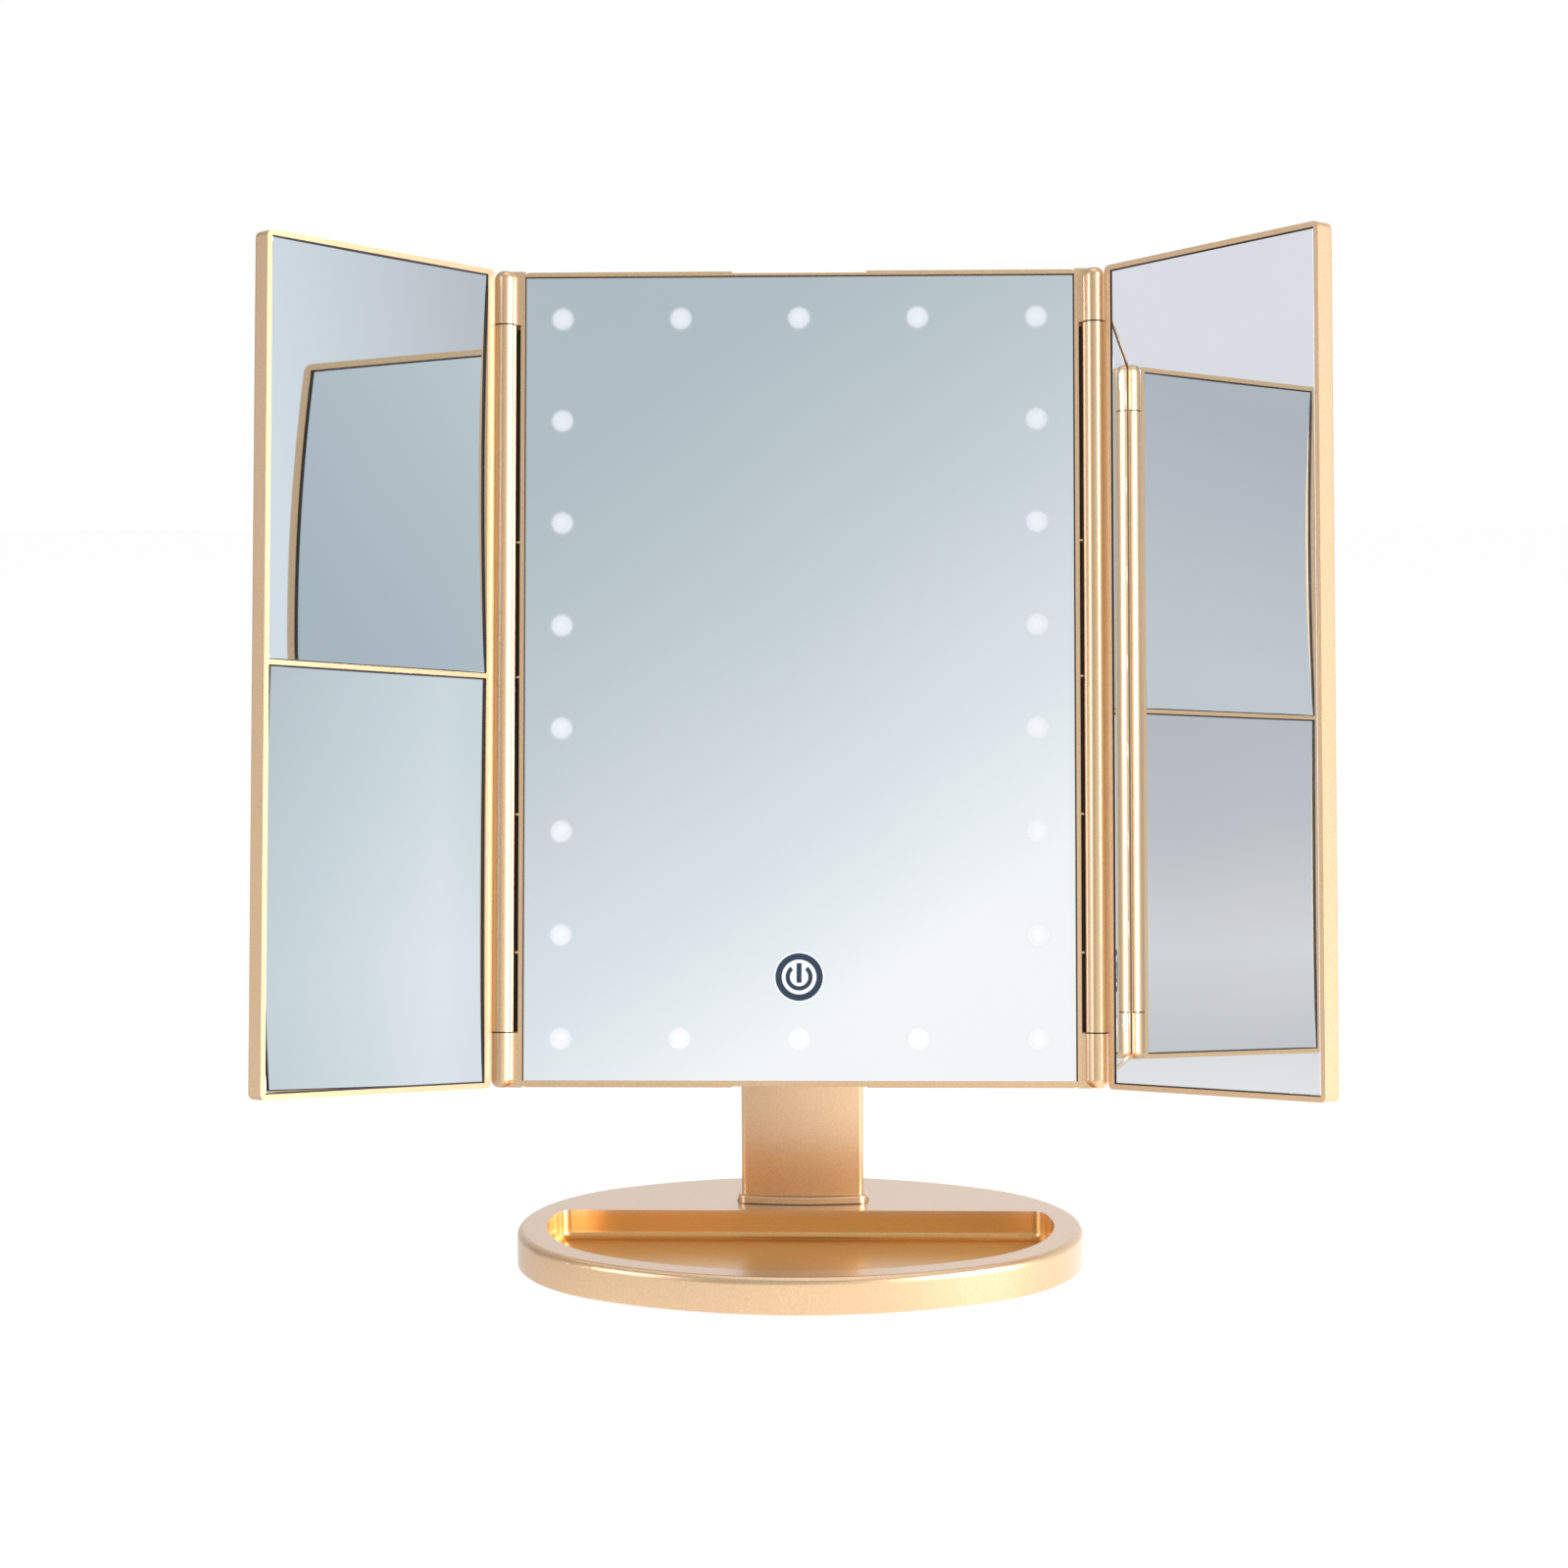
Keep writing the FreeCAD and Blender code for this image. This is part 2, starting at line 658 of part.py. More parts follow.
def make_front_frame():
    body = new_body("front_frame")
    pad_back(body, "0", "frame_deep",
             lambda sketch: draw_rect(sketch, middle_span("head_width"), middle_span("head_height")))
    round_edges(body, "head_corner", lambda edge: along(edge, "y"))
    edge = ("head_height/2 - frame_step", "head_height/2 + overrun")

    def lowered(sketch):
        for span in (edge, opposite(edge)):
            draw_rect(sketch, middle_span("head_width + 2*overrun"), span)

    def notches(sketch):
        for span in (edge, opposite(edge)):
            draw_rect(sketch, middle_span("channel_width"), span)

    # the lip is lower at the top and bottom, and so is the body where the channel passes
    pocket_back(body, "0", "frame_step_deep", lowered)
    pocket_back(body, "frame_step_deep", "frame_deep", notches)
    # short fixed knuckles at the four hinge ends, with their webs
    for side in ("-", ""):
        for low, high in (("head_height/2 - knuckle_long", "head_height/2"),
                          ("-head_height/2", "-head_height/2 + knuckle_long")):
            reach = ("head_width/2 - frame_lip_side", f"{HINGE} - barrel_dia/4")
            web = reach if side == "" else opposite(reach)
            deep = ("0", "barrel_dia/2 - hinge_ahead - frame_lip_side/4")
            pad_up(body, low, high, lambda sketch: draw_rect(sketch, web, deep))
            tip, root = (high, low) if low.startswith("head") else (low, high)
            turn_up(body, f"{side}{HINGE}", "-hinge_ahead",
                    lambda sketch: draw_round_end(sketch, "barrel_dia/2", (tip, root), "knuckle_round"))
    # seat for the glass, then the space for the lights inside a supporting ledge
    pocket_back(body, "0", GLASS_BACK,
                lambda sketch: draw_rect(sketch, middle_span(f"2*({GLASS_HALF_WIDE})"),
                                         middle_span(f"2*({GLASS_HALF_HIGH})")))
    pocket_back(body, GLASS_BACK, FLOOR_FRONT,
                lambda sketch: draw_rect(sketch, middle_span(f"2*({GLASS_HALF_WIDE} - ledge_wide)"),
                                         middle_span(f"2*({GLASS_HALF_HIGH} - ledge_wide)")))

    # blind holes for the hinge pins
    def pin_holes(sketch):
        for sign in ("-", ""):
            draw_circle(sketch, f"{sign}{HINGE}", "-hinge_ahead", "hinge_pin_dia + 2*turn_gap")
    reach = "head_height/2 - knuckle_long + hinge_pin_long/2 + turn_gap"
    pocket_up(body, "head_height/2 - knuckle_long - knuckle_gap", reach, pin_holes)
    pocket_up(body, f"-({reach})", "-head_height/2 + knuckle_long + knuckle_gap", pin_holes)

    # bosses with pilot holes for the housing screws, on the back of the floor
    def rings(diameter):
        return lambda sketch: [draw_circle(sketch, across, up, diameter) for across, up in HOUSING_SCREWS]
    pad_back(body, FLOOR_FRONT, "frame_deep + boss_high", rings("post_dia"))
    pocket_back(body, FLOOR_FRONT, "frame_deep + boss_high", rings("screw_dia + 2*screw_gap"))
    keep("front_frame", body, head_place)


def make_back_cover():
    body = new_body("back_cover")
    pad_back(body, "frame_deep + seat_gap/2", "head_deep",
             lambda sketch: draw_rect(sketch, middle_span("head_width"), middle_span("head_height")))
    round_edges(body, "head_corner", lambda edge: along(edge, "y"))
    round_edges(body, "head_back_round", lambda edge: at(edge, "y", "head_deep"))
    # full-height channel that the stem lies in, open at both ends
    pocket_back(body, "frame_deep + channel_floor", "head_deep",
                lambda sketch: draw_rect(sketch, middle_span("channel_width"),
                                         middle_span("head_height + overrun")))
    # flanges that close the gap behind the hinge barrels
    guard = ("head_width/2 - cover_wall", "head_width/2 + guard_reach")

    def guards(sketch):
        for span in (guard, opposite(guard)):
            draw_rect(sketch, span, middle_span("head_height - 2*head_corner"))
    pad_back(body, "frame_deep + seat_gap/2", "frame_deep + guard_thick", guards)
    # the two hollow lobes beside the channel
    lobe = ("channel_width/2 + cover_wall", "head_width/2 - cover_wall")

    def lobes(sketch):
        for span in (lobe, opposite(lobe)):
            draw_rect(sketch, span, middle_span("head_height - 2*cover_wall"))
    pocket_back(body, "frame_deep", "head_deep - cover_wall", lobes)

    # walls round the battery bay and posts for the screws
    def bay_walls(sketch):
        draw_rect(sketch, middle_span(f"{BAY_WIDE} + 2*bay_wall", LOBE_MIDDLE),
                  middle_span(f"{BAY_HIGH} + 2*bay_wall", BAY_UP))
    pad_back(body, "frame_deep + seat_gap/2", "head_deep - cover_wall/2", bay_walls)

    def posts(sketch):
        for across, up in HOUSING_SCREWS:
            draw_circle(sketch, across, up, "post_dia")
    pad_back(body, "frame_deep + boss_high + seat_gap/2", "head_deep - cover_wall/2", posts)
    # bosses that hold the tilt axle, either side of the channel
    for side in ("", "-"):
        span = ("channel_width/2 + cover_wall/2", "channel_width/2 + cover_wall + axle_boss_high")
        low, high = span if side == "" else opposite(span)
        sketch = new_sketch(body, "YZ_Plane", low)
        draw_circle(sketch, "axle_deep", "0", "axle_boss_dia")
        feature(body, "Pad", sketch, f"({high}) - ({low})")
    bore = new_sketch(body, "YZ_Plane")
    draw_circle(bore, "axle_deep", "0", "axle_dia + 2*turn_gap")
    feature(body, "Pocket", bore, "axle_long + 2*turn_gap", both=True)

    def bay(sketch):
        draw_rect(sketch, middle_span(BAY_WIDE, LOBE_MIDDLE), middle_span(BAY_HIGH, BAY_UP))
    pocket_back(body, "frame_deep", "head_deep", bay)

    def door_seat(sketch):
        draw_rect(sketch, middle_span(DOOR_WIDE, LOBE_MIDDLE), middle_span(DOOR_HIGH, BAY_UP))
    pocket_back(body, "head_deep - door_thick", "head_deep", door_seat)

    def screw_holes(sketch):
        for across, up in HOUSING_SCREWS:
            draw_circle(sketch, across, up, "screw_dia + 2*screw_gap")
    pocket_back(body, "frame_deep", "head_deep", screw_holes)

    def screw_seats(sketch):
        for across, up in HOUSING_SCREWS:
            draw_circle(sketch, across, up, "screw_head_dia + 2*screw_gap + 2*seat_gap")
    pocket_back(body, "head_deep - screw_sink - screw_head_high", "head_deep", screw_seats)

    def switch_slot(sketch):
        draw_rect(sketch, middle_span("switch_slot_wide", f"-{LOBE_MIDDLE}"),
                  middle_span("switch_slot_high", SWITCH_UP))
    pocket_back(body, "head_deep - cover_wall", "head_deep", switch_slot)

    def socket_hole(sketch):
        draw_rect(sketch, middle_span("socket_wide + 2*seat_gap", f"-{LOBE_MIDDLE}"),
                  (f"{BOARD_BACK} - seat_gap", f"{BOARD_BACK} + socket_high + seat_gap"))
    pocket_up(body, "-head_height/2", "-head_height/2 + cover_wall", socket_hole)
    keep("back_cover", body, head_place)


# Glass and lights of the head

def light_places():
    # two full columns down the sides, and the end rows between them
    rows = count("light_rows")
    columns = count("light_columns")
    reach_x = f"({GLASS_HALF_WIDE} - light_side_inset)"
    reach_z = f"({GLASS_HALF_HIGH} - light_end_inset)"
    places = []
    for row in range(rows):
        up = f"{reach_z}*{1 - 2 * row / (rows - 1)}"
        inner = range(columns) if row in (0, rows - 1) else (0, columns - 1)
        places += [(f"{reach_x}*{2 * column / (columns - 1) - 1}", up) for column in inner]
    return places


def make_lights():
    spots = light_places()
    glass = new_body("main_mirror")
    pad_back(glass, "glass_sink", GLASS_BACK,
             lambda sketch: draw_rect(sketch, middle_span(f"2*({GLASS_HALF_WIDE} - seat_gap)"),
                                      middle_span(f"2*({GLASS_HALF_HIGH} - seat_gap)")))

    def windows(sketch):
        for across, up in spots:
            draw_circle(sketch, across, up, "window_dia")
    pocket_back(glass, "glass_sink", GLASS_BACK, windows)
    keep("main_mirror", glass, head_place)

    discs = [rod(f"window_{index}", "y", "window_dia - turn_gap", ("glass_sink", GLASS_BACK), spot)
             for index, spot in enumerate(spots, start=1)]
    keep("light_windows", group("light_windows", discs), head_place)

    def ring(name, low, high, wide):
        body = new_body(name)
        across = f"{GLASS_HALF_WIDE} - light_side_inset"
        upward = f"{GLASS_HALF_HIGH} - light_end_inset"

        def frame(sketch):
            for grow in (f"+ {wide}/2", f"- {wide}/2"):
                draw_rect(sketch, middle_span(f"2*({across} {grow})"), middle_span(f"2*({upward} {grow})"))
        pad_back(body, low, high, frame)
        keep(name, body, head_place)

    ring("diffuser_film", GLASS_BACK, GLASS_BACK + " + film_thick", "board_wide")
    ring("led_board", FLOOR_FRONT + " - board_thick", FLOOR_FRONT, "board_wide")
    chips = [box(f"chip_{index}", middle_span("chip_wide", across),
                 (FLOOR_FRONT + " - board_thick - chip_high", FLOOR_FRONT + " - board_thick"),
                 middle_span("chip_long", up))
             for index, (across, up) in enumerate(spots, start=1)]
    keep("led_chips", group("led_chips", chips), head_place)
    keep("touch_sensor", rod("touch_sensor", "y", "touch_dia", (GLASS_BACK, GLASS_BACK + " + touch_thick"),
                             ("0", TOUCH_UP)), head_place)


# Batteries, switch, socket and screws of the head

def make_power():
    middle_deep = "frame_deep + (head_deep - door_thick - frame_deep)/2"
    cells = []
    contacts = []
    for index in range(count("cell_count")):
        up = f"{BAY_UP} + ({index} + 0.5 - cell_count/2)*(cell_dia + bay_room)"
        flip = index % 2 == 1
        low = f"{LOBE_MIDDLE} - {BAY_WIDE}/2 + contact_room + bay_room"
        case = (low, f"{low} + {CELL_LONG}") if not flip else (
            f"{low} + cell_tip_long", f"{low} + cell_tip_long + {CELL_LONG}")
        tip = (f"{low} + {CELL_LONG}/2", f"{low} + {CELL_LONG} + cell_tip_long")
        if flip:
            tip = (low, f"{low} + {CELL_LONG}/2")
        jacket = rod(f"cell_case_{index}", "x", "cell_dia", case, (middle_deep, up))
        nub = rod(f"cell_tip_{index}", "x", "cell_tip_dia", tip, (middle_deep, up))
        cells.append(join(f"cell_{index}", [jacket, nub]))
        wall_low = f"{LOBE_MIDDLE} - {BAY_WIDE}/2"
        wall_high = f"{LOBE_MIDDLE} + {BAY_WIDE}/2"
        for end, place in (("low", (wall_low, f"{wall_low} + contact_thick")),
                           ("high", (f"{wall_high} - contact_thick", wall_high))):
            contacts.append(box(f"contact_{end}_{index}", place,
                                middle_span("cell_dia*contact_share", middle_deep),
                                middle_span("cell_dia*contact_share", up)))
    keep("battery_cells", group("battery_cells", cells), head_place)
    keep("battery_contacts", group("battery_contacts", contacts), head_place)

    door = new_body("battery_door")

    def door_plate(sketch):
        draw_rect(sketch, middle_span(f"{DOOR_WIDE} - 2*seat_gap", LOBE_MIDDLE),
                  middle_span(f"{DOOR_HIGH} - 2*seat_gap", BAY_UP))
    pad_back(door, "head_deep - door_thick + seat_gap/2", "head_deep", door_plate)
    for rib in range(4):
        up = f"{BAY_UP} - {DOOR_HIGH}/2 + door_ledge + ({rib} + 1)*2*door_grip_high"
        pocket_back(door, "head_deep - door_thick/3", "head_deep",
                    lambda sketch: draw_rect(sketch, middle_span("door_grip_wide", LOBE_MIDDLE),
                                             middle_span("door_grip_high", up)))
    keep("battery_door", door, head_place)

    inner = "head_deep - cover_wall - seat_gap/2"
    keep("switch_body", box("switch_body", middle_span("switch_body_wide", f"-{LOBE_MIDDLE}"),
                            (f"{inner} - switch_body_deep", inner),
                            middle_span("switch_body_high", SWITCH_UP)), head_place)
    knob = new_body("switch_slider")

    def knob_plan(sketch):
        draw_rect(sketch, middle_span("knob_wide", f"-{LOBE_MIDDLE}"), middle_span("knob_high", KNOB_UP))
    pad_back(knob, "head_deep - cover_wall", "head_deep + knob_proud", knob_plan)
    for groove in (-1, 0, 1):
        up = f"{KNOB_UP} + {groove}*knob_high/4"
        pocket_back(knob, "head_deep + knob_proud/2", "head_deep + knob_proud",
                    lambda sketch: draw_rect(sketch, middle_span("knob_wide", f"-{LOBE_MIDDLE}"),
                                             middle_span("knob_high/10", up)))
    keep("switch_slider", knob, head_place)

    board_low = "-head_height/2 + cover_wall + seat_gap"
    board = box("control_board", middle_span(BOARD_WIDE, f"-{LOBE_MIDDLE}"),
                (BOARD_FRONT, BOARD_BACK), (board_low, f"{board_low} + control_board_high"))
    keep("control_board", board, head_place)
    feet = [rod(f"standoff_{side}", "y", "standoff_dia", ("frame_deep", BOARD_FRONT),
                (f"-{LOBE_MIDDLE} {sign} ({BOARD_WIDE}/2 - standoff_dia)",
                 f"{board_low} + control_board_high - standoff_dia"))
            for side, sign in (("left", "-"), ("right", "+"))]
    keep("board_standoffs", group("board_standoffs", feet), head_place)
    socket = box("socket_case", middle_span("socket_wide", f"-{LOBE_MIDDLE}"),
                 (BOARD_BACK, f"{BOARD_BACK} + socket_high"),
                 ("-head_height/2 + seat_gap", "-head_height/2 + seat_gap + socket_long"))
    mouth = box("socket_mouth", middle_span("socket_wide - 4*seat_gap", f"-{LOBE_MIDDLE}"),
                (f"{BOARD_BACK} + 3*seat_gap", f"{BOARD_BACK} + socket_high - 3*seat_gap"),
                ("-head_height/2", "-head_height/2 + socket_long*socket_mouth_share"))
    keep("usb_socket", cut("usb_socket", socket, [mouth]), head_place)

    screws = []
    for index, place in enumerate(HOUSING_SCREWS):
        seat = "head_deep - screw_sink - screw_head_high"
        head = rod(f"housing_head_{index}", "y", "screw_head_dia",
                   (seat, f"{seat} + screw_head_high"), place)
        shank = rod(f"housing_shank_{index}", "y", "screw_dia",
                    (FLOOR_FRONT + " + screw_gap", f"{seat} + screw_head_high/2"), place)
        screws.append(join(f"housing_screw_{index}", [head, shank]))
    keep("housing_screws", group("housing_screws", screws), head_place)


def make_pins():
    axle = rod("tilt_axle", "x", "axle_dia", middle_span("axle_long"), ("axle_deep", "0"))
    keep("tilt_axle", axle, head_place)
    washers = []
    for side in ("-", ""):
        span = ("stem_width/2 + washer_gap", "channel_width/2 - washer_gap")
        low, high = span if side == "" else opposite(span)
        disc = rod(f"washer_disc{side}", "x", "stem_thick*washer_share", (low, high), ("axle_deep", "0"))
        hole = rod(f"washer_hole{side}", "x", "axle_dia + 2*turn_gap",
                   (f"{low} - overrun", f"{high} + overrun"), ("axle_deep", "0"))
        washers.append(cut(f"washer{side}", disc, [hole]))
    keep("friction_washers", group("friction_washers", washers), head_place)
    for name, side in (("left_hinge_pins", "-"), ("right_hinge_pins", "")):
        split = "head_height/2 - knuckle_long"
        pins = [rod(f"{name}_{end}", "z", "hinge_pin_dia",
                    middle_span("hinge_pin_long", f"{sign}({split})"), (f"{side}{HINGE}", "-hinge_ahead"))
                for end, sign in (("top", ""), ("bottom", "-"))]
        keep(name, group(name, pins), head_place)


# Wings

def make_wing(name, side, curved):
    def out(low, high):
        return (low, high) if side > 0 else opposite((low, high))

    face = "hinge_ahead"
    back = "hinge_ahead + wing_thick"
    seat = out("wing_inner + wing_lip_inner", f"{WING_OUTER} - wing_lip_outer")
    half = "head_height/2 - wing_lip_end"
    body = new_body(f"{name}_wing_frame")
    pad_back(body, face, back,
             lambda sketch: draw_rect(sketch, out("wing_inner", WING_OUTER), middle_span("head_height")))
    round_edges(body, "wing_corner", lambda edge: along(edge, "y"))
    round_edges(body, "wing_back_round", lambda edge: at(edge, "y", back) and not along(edge, "z"))
    # the long barrel between the fixed knuckles, and the web that carries it
    barrel_end = "head_height/2 - knuckle_long - knuckle_gap"
    pad_up(body, f"-({barrel_end})", barrel_end,
           lambda sketch: draw_rect(sketch, out("barrel_dia/4", "wing_inner + wing_lip_inner/2"),
                                    (face, f"{face} + wing_web")))
    pad_up(body, f"-({barrel_end})", barrel_end,
           lambda sketch: draw_circle(sketch, "0", "0", "barrel_dia"))

    def pin_hole(sketch):
        draw_circle(sketch, "0", "0", "hinge_pin_dia + 2*turn_gap")
    deep = "head_height/2 - knuckle_long - hinge_pin_long/2 - knuckle_gap"
    pocket_up(body, deep, barrel_end, pin_hole)
    pocket_up(body, f"-({barrel_end})", f"-({deep})", pin_hole)

    # rear recess for the cover, and the front seat for the glass
    cover = out("wing_inner + wing_lip_inner/2", f"{WING_OUTER} - wing_lip_outer/2 - wing_back_round/2")
    cover_half = "head_height/2 - wing_lip_end/2 - wing_back_round/2"
    pocket_back(body, f"{back} - wing_cover_thick", back,
                lambda sketch: draw_rect(sketch, cover, (f"-({cover_half})", cover_half)))
    if curved:
        spans = (("divider_wide/2", half), (f"-({half})", "-divider_wide/2"))
        floor = f"{back} - wing_cover_thick"
    else:
        spans = ((f"-({half})", half),)
        floor = f"{face} + wing_glass_sink + wing_glass_thick + seat_gap"

    def seats(sketch):
        for span in spans:
            draw_rect(sketch, seat, span)
    pocket_back(body, face, floor, seats)
    if not curved:
        # the plain glass lies on a ledge that runs round the seat
        pocket_back(body, floor, f"{back} - wing_cover_thick",
                    lambda sketch: draw_rect(sketch, (f"{seat[0]} + wing_ledge", f"{seat[1]} - wing_ledge"),
                                             (f"-({half}) + wing_ledge", f"{half} - wing_ledge")))
    keep(f"{name}_wing_frame", body, wing_place(side))

    lid = new_body(f"{name}_wing_cover")
    pad_back(lid, f"{back} - wing_cover_thick + seat_gap/2", back,
             lambda sketch: draw_rect(sketch, (f"{cover[0]} + seat_gap", f"{cover[1]} - seat_gap"),
                                      (f"-({cover_half}) + seat_gap", f"{cover_half} - seat_gap")))
    keep(f"{name}_wing_cover", lid, wing_place(side))

    inside = (f"{seat[0]} + seat_gap", f"{seat[1]} - seat_gap")
    if not curved:
        glass = new_body(f"{name}_mirror")
        pad_back(glass, f"{face} + wing_glass_sink", f"{face} + wing_glass_sink + wing_glass_thick",
                 lambda sketch: draw_rect(sketch, inside, (f"-({half}) + seat_gap", f"{half} - seat_gap")))
        keep(f"{name}_mirror", glass, wing_place(side))
        return
    # magnifying glasses: sheets bent to a large sphere whose centre is ahead of the wing
    for place, (low, high), curve in (("upper", spans[0], "upper_curve"),
                                      ("lower", spans[1], "lower_curve")):
        pieces = {}
        across = f"({seat[0]} + {seat[1]})/2"
        upward = f"({low} + {high})/2"
        reach = f"(({seat[1]} - ({seat[0]}))^2 + ({high} - ({low}))^2)/8"
        dip = f"{reach}/{curve}"
        for skin, radius in (("inner", curve), ("outer", f"{curve} + curved_glass_thick")):
            ball = doc.addObject("Part::Sphere", f"{name}_{place}_{skin}")
            ball.setExpression("Radius", link(radius))
            ball.setExpression("Placement.Base.x", link(across))
            ball.setExpression("Placement.Base.y", link(f"{face} + wing_glass_sink + {dip} - {curve}"))
            ball.setExpression("Placement.Base.z", link(upward))
            pieces[skin] = ball
        blank = box(f"{name}_{place}_blank", inside, (face, f"{back} - wing_cover_thick"),
                    (f"{low} + seat_gap", f"{high} - seat_gap"))
        bent = overlap(f"{name}_{place}_bent", blank, pieces["outer"])
        dished = cut(f"{name}_{place}_mirror", bent, [pieces["inner"]])
        keep(f"{name}_{place}_mirror", dished, wing_place(side))


make_base()
make_base_fittings()
make_stem()
make_front_frame()
make_back_cover()
make_lights()
make_power()
make_pins()
make_wing("left", -1, curved=True)
make_wing("right", 1, curved=False)
doc.recompute()

# Every object has to be sound before anything is written
for item in doc.Objects:
    if "Invalid" in item.State or "Error" in item.State:
        raise RuntimeError(f"{item.Label} did not build")
for name, shape in parts.items():
    if shape.Shape.isNull() or not shape.Shape.isValid() or not shape.Shape.Solids:
        raise RuntimeError(f"{name} has no sound shape")

os.makedirs("parts", exist_ok=True)
for name, shape in parts.items():
    shape.Shape.exportStep(f"parts/{name}.step")
    print(f"{name}: {len(shape.Shape.Solids)} solids, {shape.Shape.Volume / 1000:.2f} ml")
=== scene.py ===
import json
import math

import bmesh
import bpy
import numpy as np
from mathutils import Matrix


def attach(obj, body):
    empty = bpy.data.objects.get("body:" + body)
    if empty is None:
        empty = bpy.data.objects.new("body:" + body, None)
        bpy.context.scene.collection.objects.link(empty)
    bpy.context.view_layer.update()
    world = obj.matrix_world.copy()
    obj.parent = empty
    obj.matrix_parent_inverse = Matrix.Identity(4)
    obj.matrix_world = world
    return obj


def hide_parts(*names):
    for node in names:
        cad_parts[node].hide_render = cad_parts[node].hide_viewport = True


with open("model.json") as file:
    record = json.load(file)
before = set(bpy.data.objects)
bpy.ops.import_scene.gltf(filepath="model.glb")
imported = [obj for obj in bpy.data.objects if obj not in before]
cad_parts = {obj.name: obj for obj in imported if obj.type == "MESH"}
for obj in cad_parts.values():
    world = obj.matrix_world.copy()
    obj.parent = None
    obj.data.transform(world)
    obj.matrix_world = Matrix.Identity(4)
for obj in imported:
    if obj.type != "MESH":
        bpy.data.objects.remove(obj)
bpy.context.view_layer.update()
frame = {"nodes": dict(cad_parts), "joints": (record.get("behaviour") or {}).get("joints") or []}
nodes = frame["nodes"]
joints = {joint["name"]: joint for joint in frame["joints"]}
scene = bpy.context.scene
scene.view_settings.view_transform = "Standard"
mm = 0.001
print("frame loaded,", len(nodes), "nodes")


# places on the head and the wings, all in millimetres

hingePlan = {"ahead": 0.6}    # hinge axis in front of the rim plane

wingWords = {-1: "left", 1: "right"}
acrossDir = np.array([1.0, 0.0, 0.0])
upDir = np.array(joints["left_wing_fold"]["axis"], float)
backDir = np.array([0.0, upDir[2], -upDir[1]])
hingePos = {side: np.array(joints[word + "_wing_fold"]["pos_m"], float) for side, word in wingWords.items()}
foldAngle = {side: -math.radians(joints[word + "_wing_fold"]["range_deg"][0]) for side, word in wingWords.items()}
faceMiddle = (hingePos[-1] + hingePos[1]) / 2 + hingePlan["ahead"] * mm * backDir


def along(direction, amount):
    # so many millimetres in a direction, as metres
    return np.asarray(amount, float)[..., None] * direction * mm


def headPoint(x, depth, up):
    # rim-plane middle plus so much sideways, back and up the leaning face
    return faceMiddle + along(acrossDir, x) + along(backDir, depth) + along(upDir, up)


def wingPoint(side, out, depth, up):
    # hinge axis plus so much out along the folded wing, back from its face and up
    turn = foldAngle[side]
    outDir = side * acrossDir * math.cos(turn) - backDir * math.sin(turn)
    inDir = backDir * math.cos(turn) + side * acrossDir * math.sin(turn)
    return hingePos[side] + along(outDir, out) + along(inDir, np.add(depth, hingePlan["ahead"])) + along(upDir, up)


def leftPlace(out, depth, up):
    return wingPoint(-1, out, depth, up)


def rightPlace(out, depth, up):
    return wingPoint(1, out, depth, up)


# meshes from arrays

meshPlan = {"weldDist": 1e-7, "slimDist": 1e-8, "sharpDeg": 30.0}


def gridQuads(rows, columns, closeRows=False, closeColumns=False):
    # each quad joins a grid point with its next row and next column, wrapping where closed
    index = np.arange(rows * columns).reshape(rows, columns)
    if closeRows:
        index = np.vstack([index, index[:1]])
    if closeColumns:
        index = np.hstack([index, index[:, :1]])
    return np.stack([index[:-1, :-1], index[1:, :-1], index[1:, 1:], index[:-1, 1:]], -1).reshape(-1, 4)


def addMesh(name, grids, sharpDeg=meshPlan["sharpDeg"]):
    # grids: list of (points rows x columns x 3, closeRows, closeColumns[, uv rows x columns x 2])
    points, quads, uvs = [], [], []
    start = 0
    for grid in grids:
        block, closeRows, closeColumns = grid[:3]
        rows, columns = block.shape[:2]
        points.append(block.reshape(-1, 3))
        quads.append(gridQuads(rows, columns, closeRows, closeColumns) + start)
        uvs.append((grid[3] if len(grid) > 3 else np.zeros((rows, columns, 2))).reshape(-1, 2))
        start += rows * columns
    points, quads, uvs = np.vstack(points), np.vstack(quads), np.vstack(uvs)
    mesh = bpy.data.meshes.new(name)
    mesh.from_pydata(points.tolist(), [], quads.tolist())
    layer = mesh.uv_layers.new(name="along")
    layer.data.foreach_set("uv", uvs[quads.ravel()].astype(np.float32).ravel())
    mesh.shade_smooth()
    mesh.validate()
    piece = bpy.data.objects.new(name, mesh)
    scene.collection.objects.link(piece)
    weld(piece, sharpDeg)
    return piece


def weld(piece, sharpDeg):
    # merge the seams between grids, turn the faces outwards and keep hard corners hard
    work = bmesh.new()
    work.from_mesh(piece.data)
    bmesh.ops.remove_doubles(work, verts=work.verts, dist=meshPlan["weldDist"])
    bmesh.ops.dissolve_degenerate(work, edges=work.edges, dist=meshPlan["slimDist"])
    bmesh.ops.recalc_face_normals(work, faces=work.faces)
    work.to_mesh(piece.data)
    work.free()
    piece.data.set_sharp_from_angle(angle=math.radians(sharpDeg))


def settle(piece, body, material):
    piece.data.materials.append(material)
    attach(piece, body)


def endCap(corners):
    # four corners taken round, closed by one face
    return corners[[0, 1, 3, 2]].reshape(2, 2, 3), False, False


def headBlock(lowX, highX, lowDeep, highDeep, lowUp, highUp):
    # a small block on the head: four corners taken round at each end, and the two ends
    x, depth = np.array([lowX, highX, highX, lowX]), np.array([lowDeep, lowDeep, highDeep, highDeep])
    rows = [headPoint(x, depth, np.full(4, up)) for up in (lowUp, highUp)]
    return [(np.stack(rows), False, True)] + [endCap(row) for row in rows]


# materials

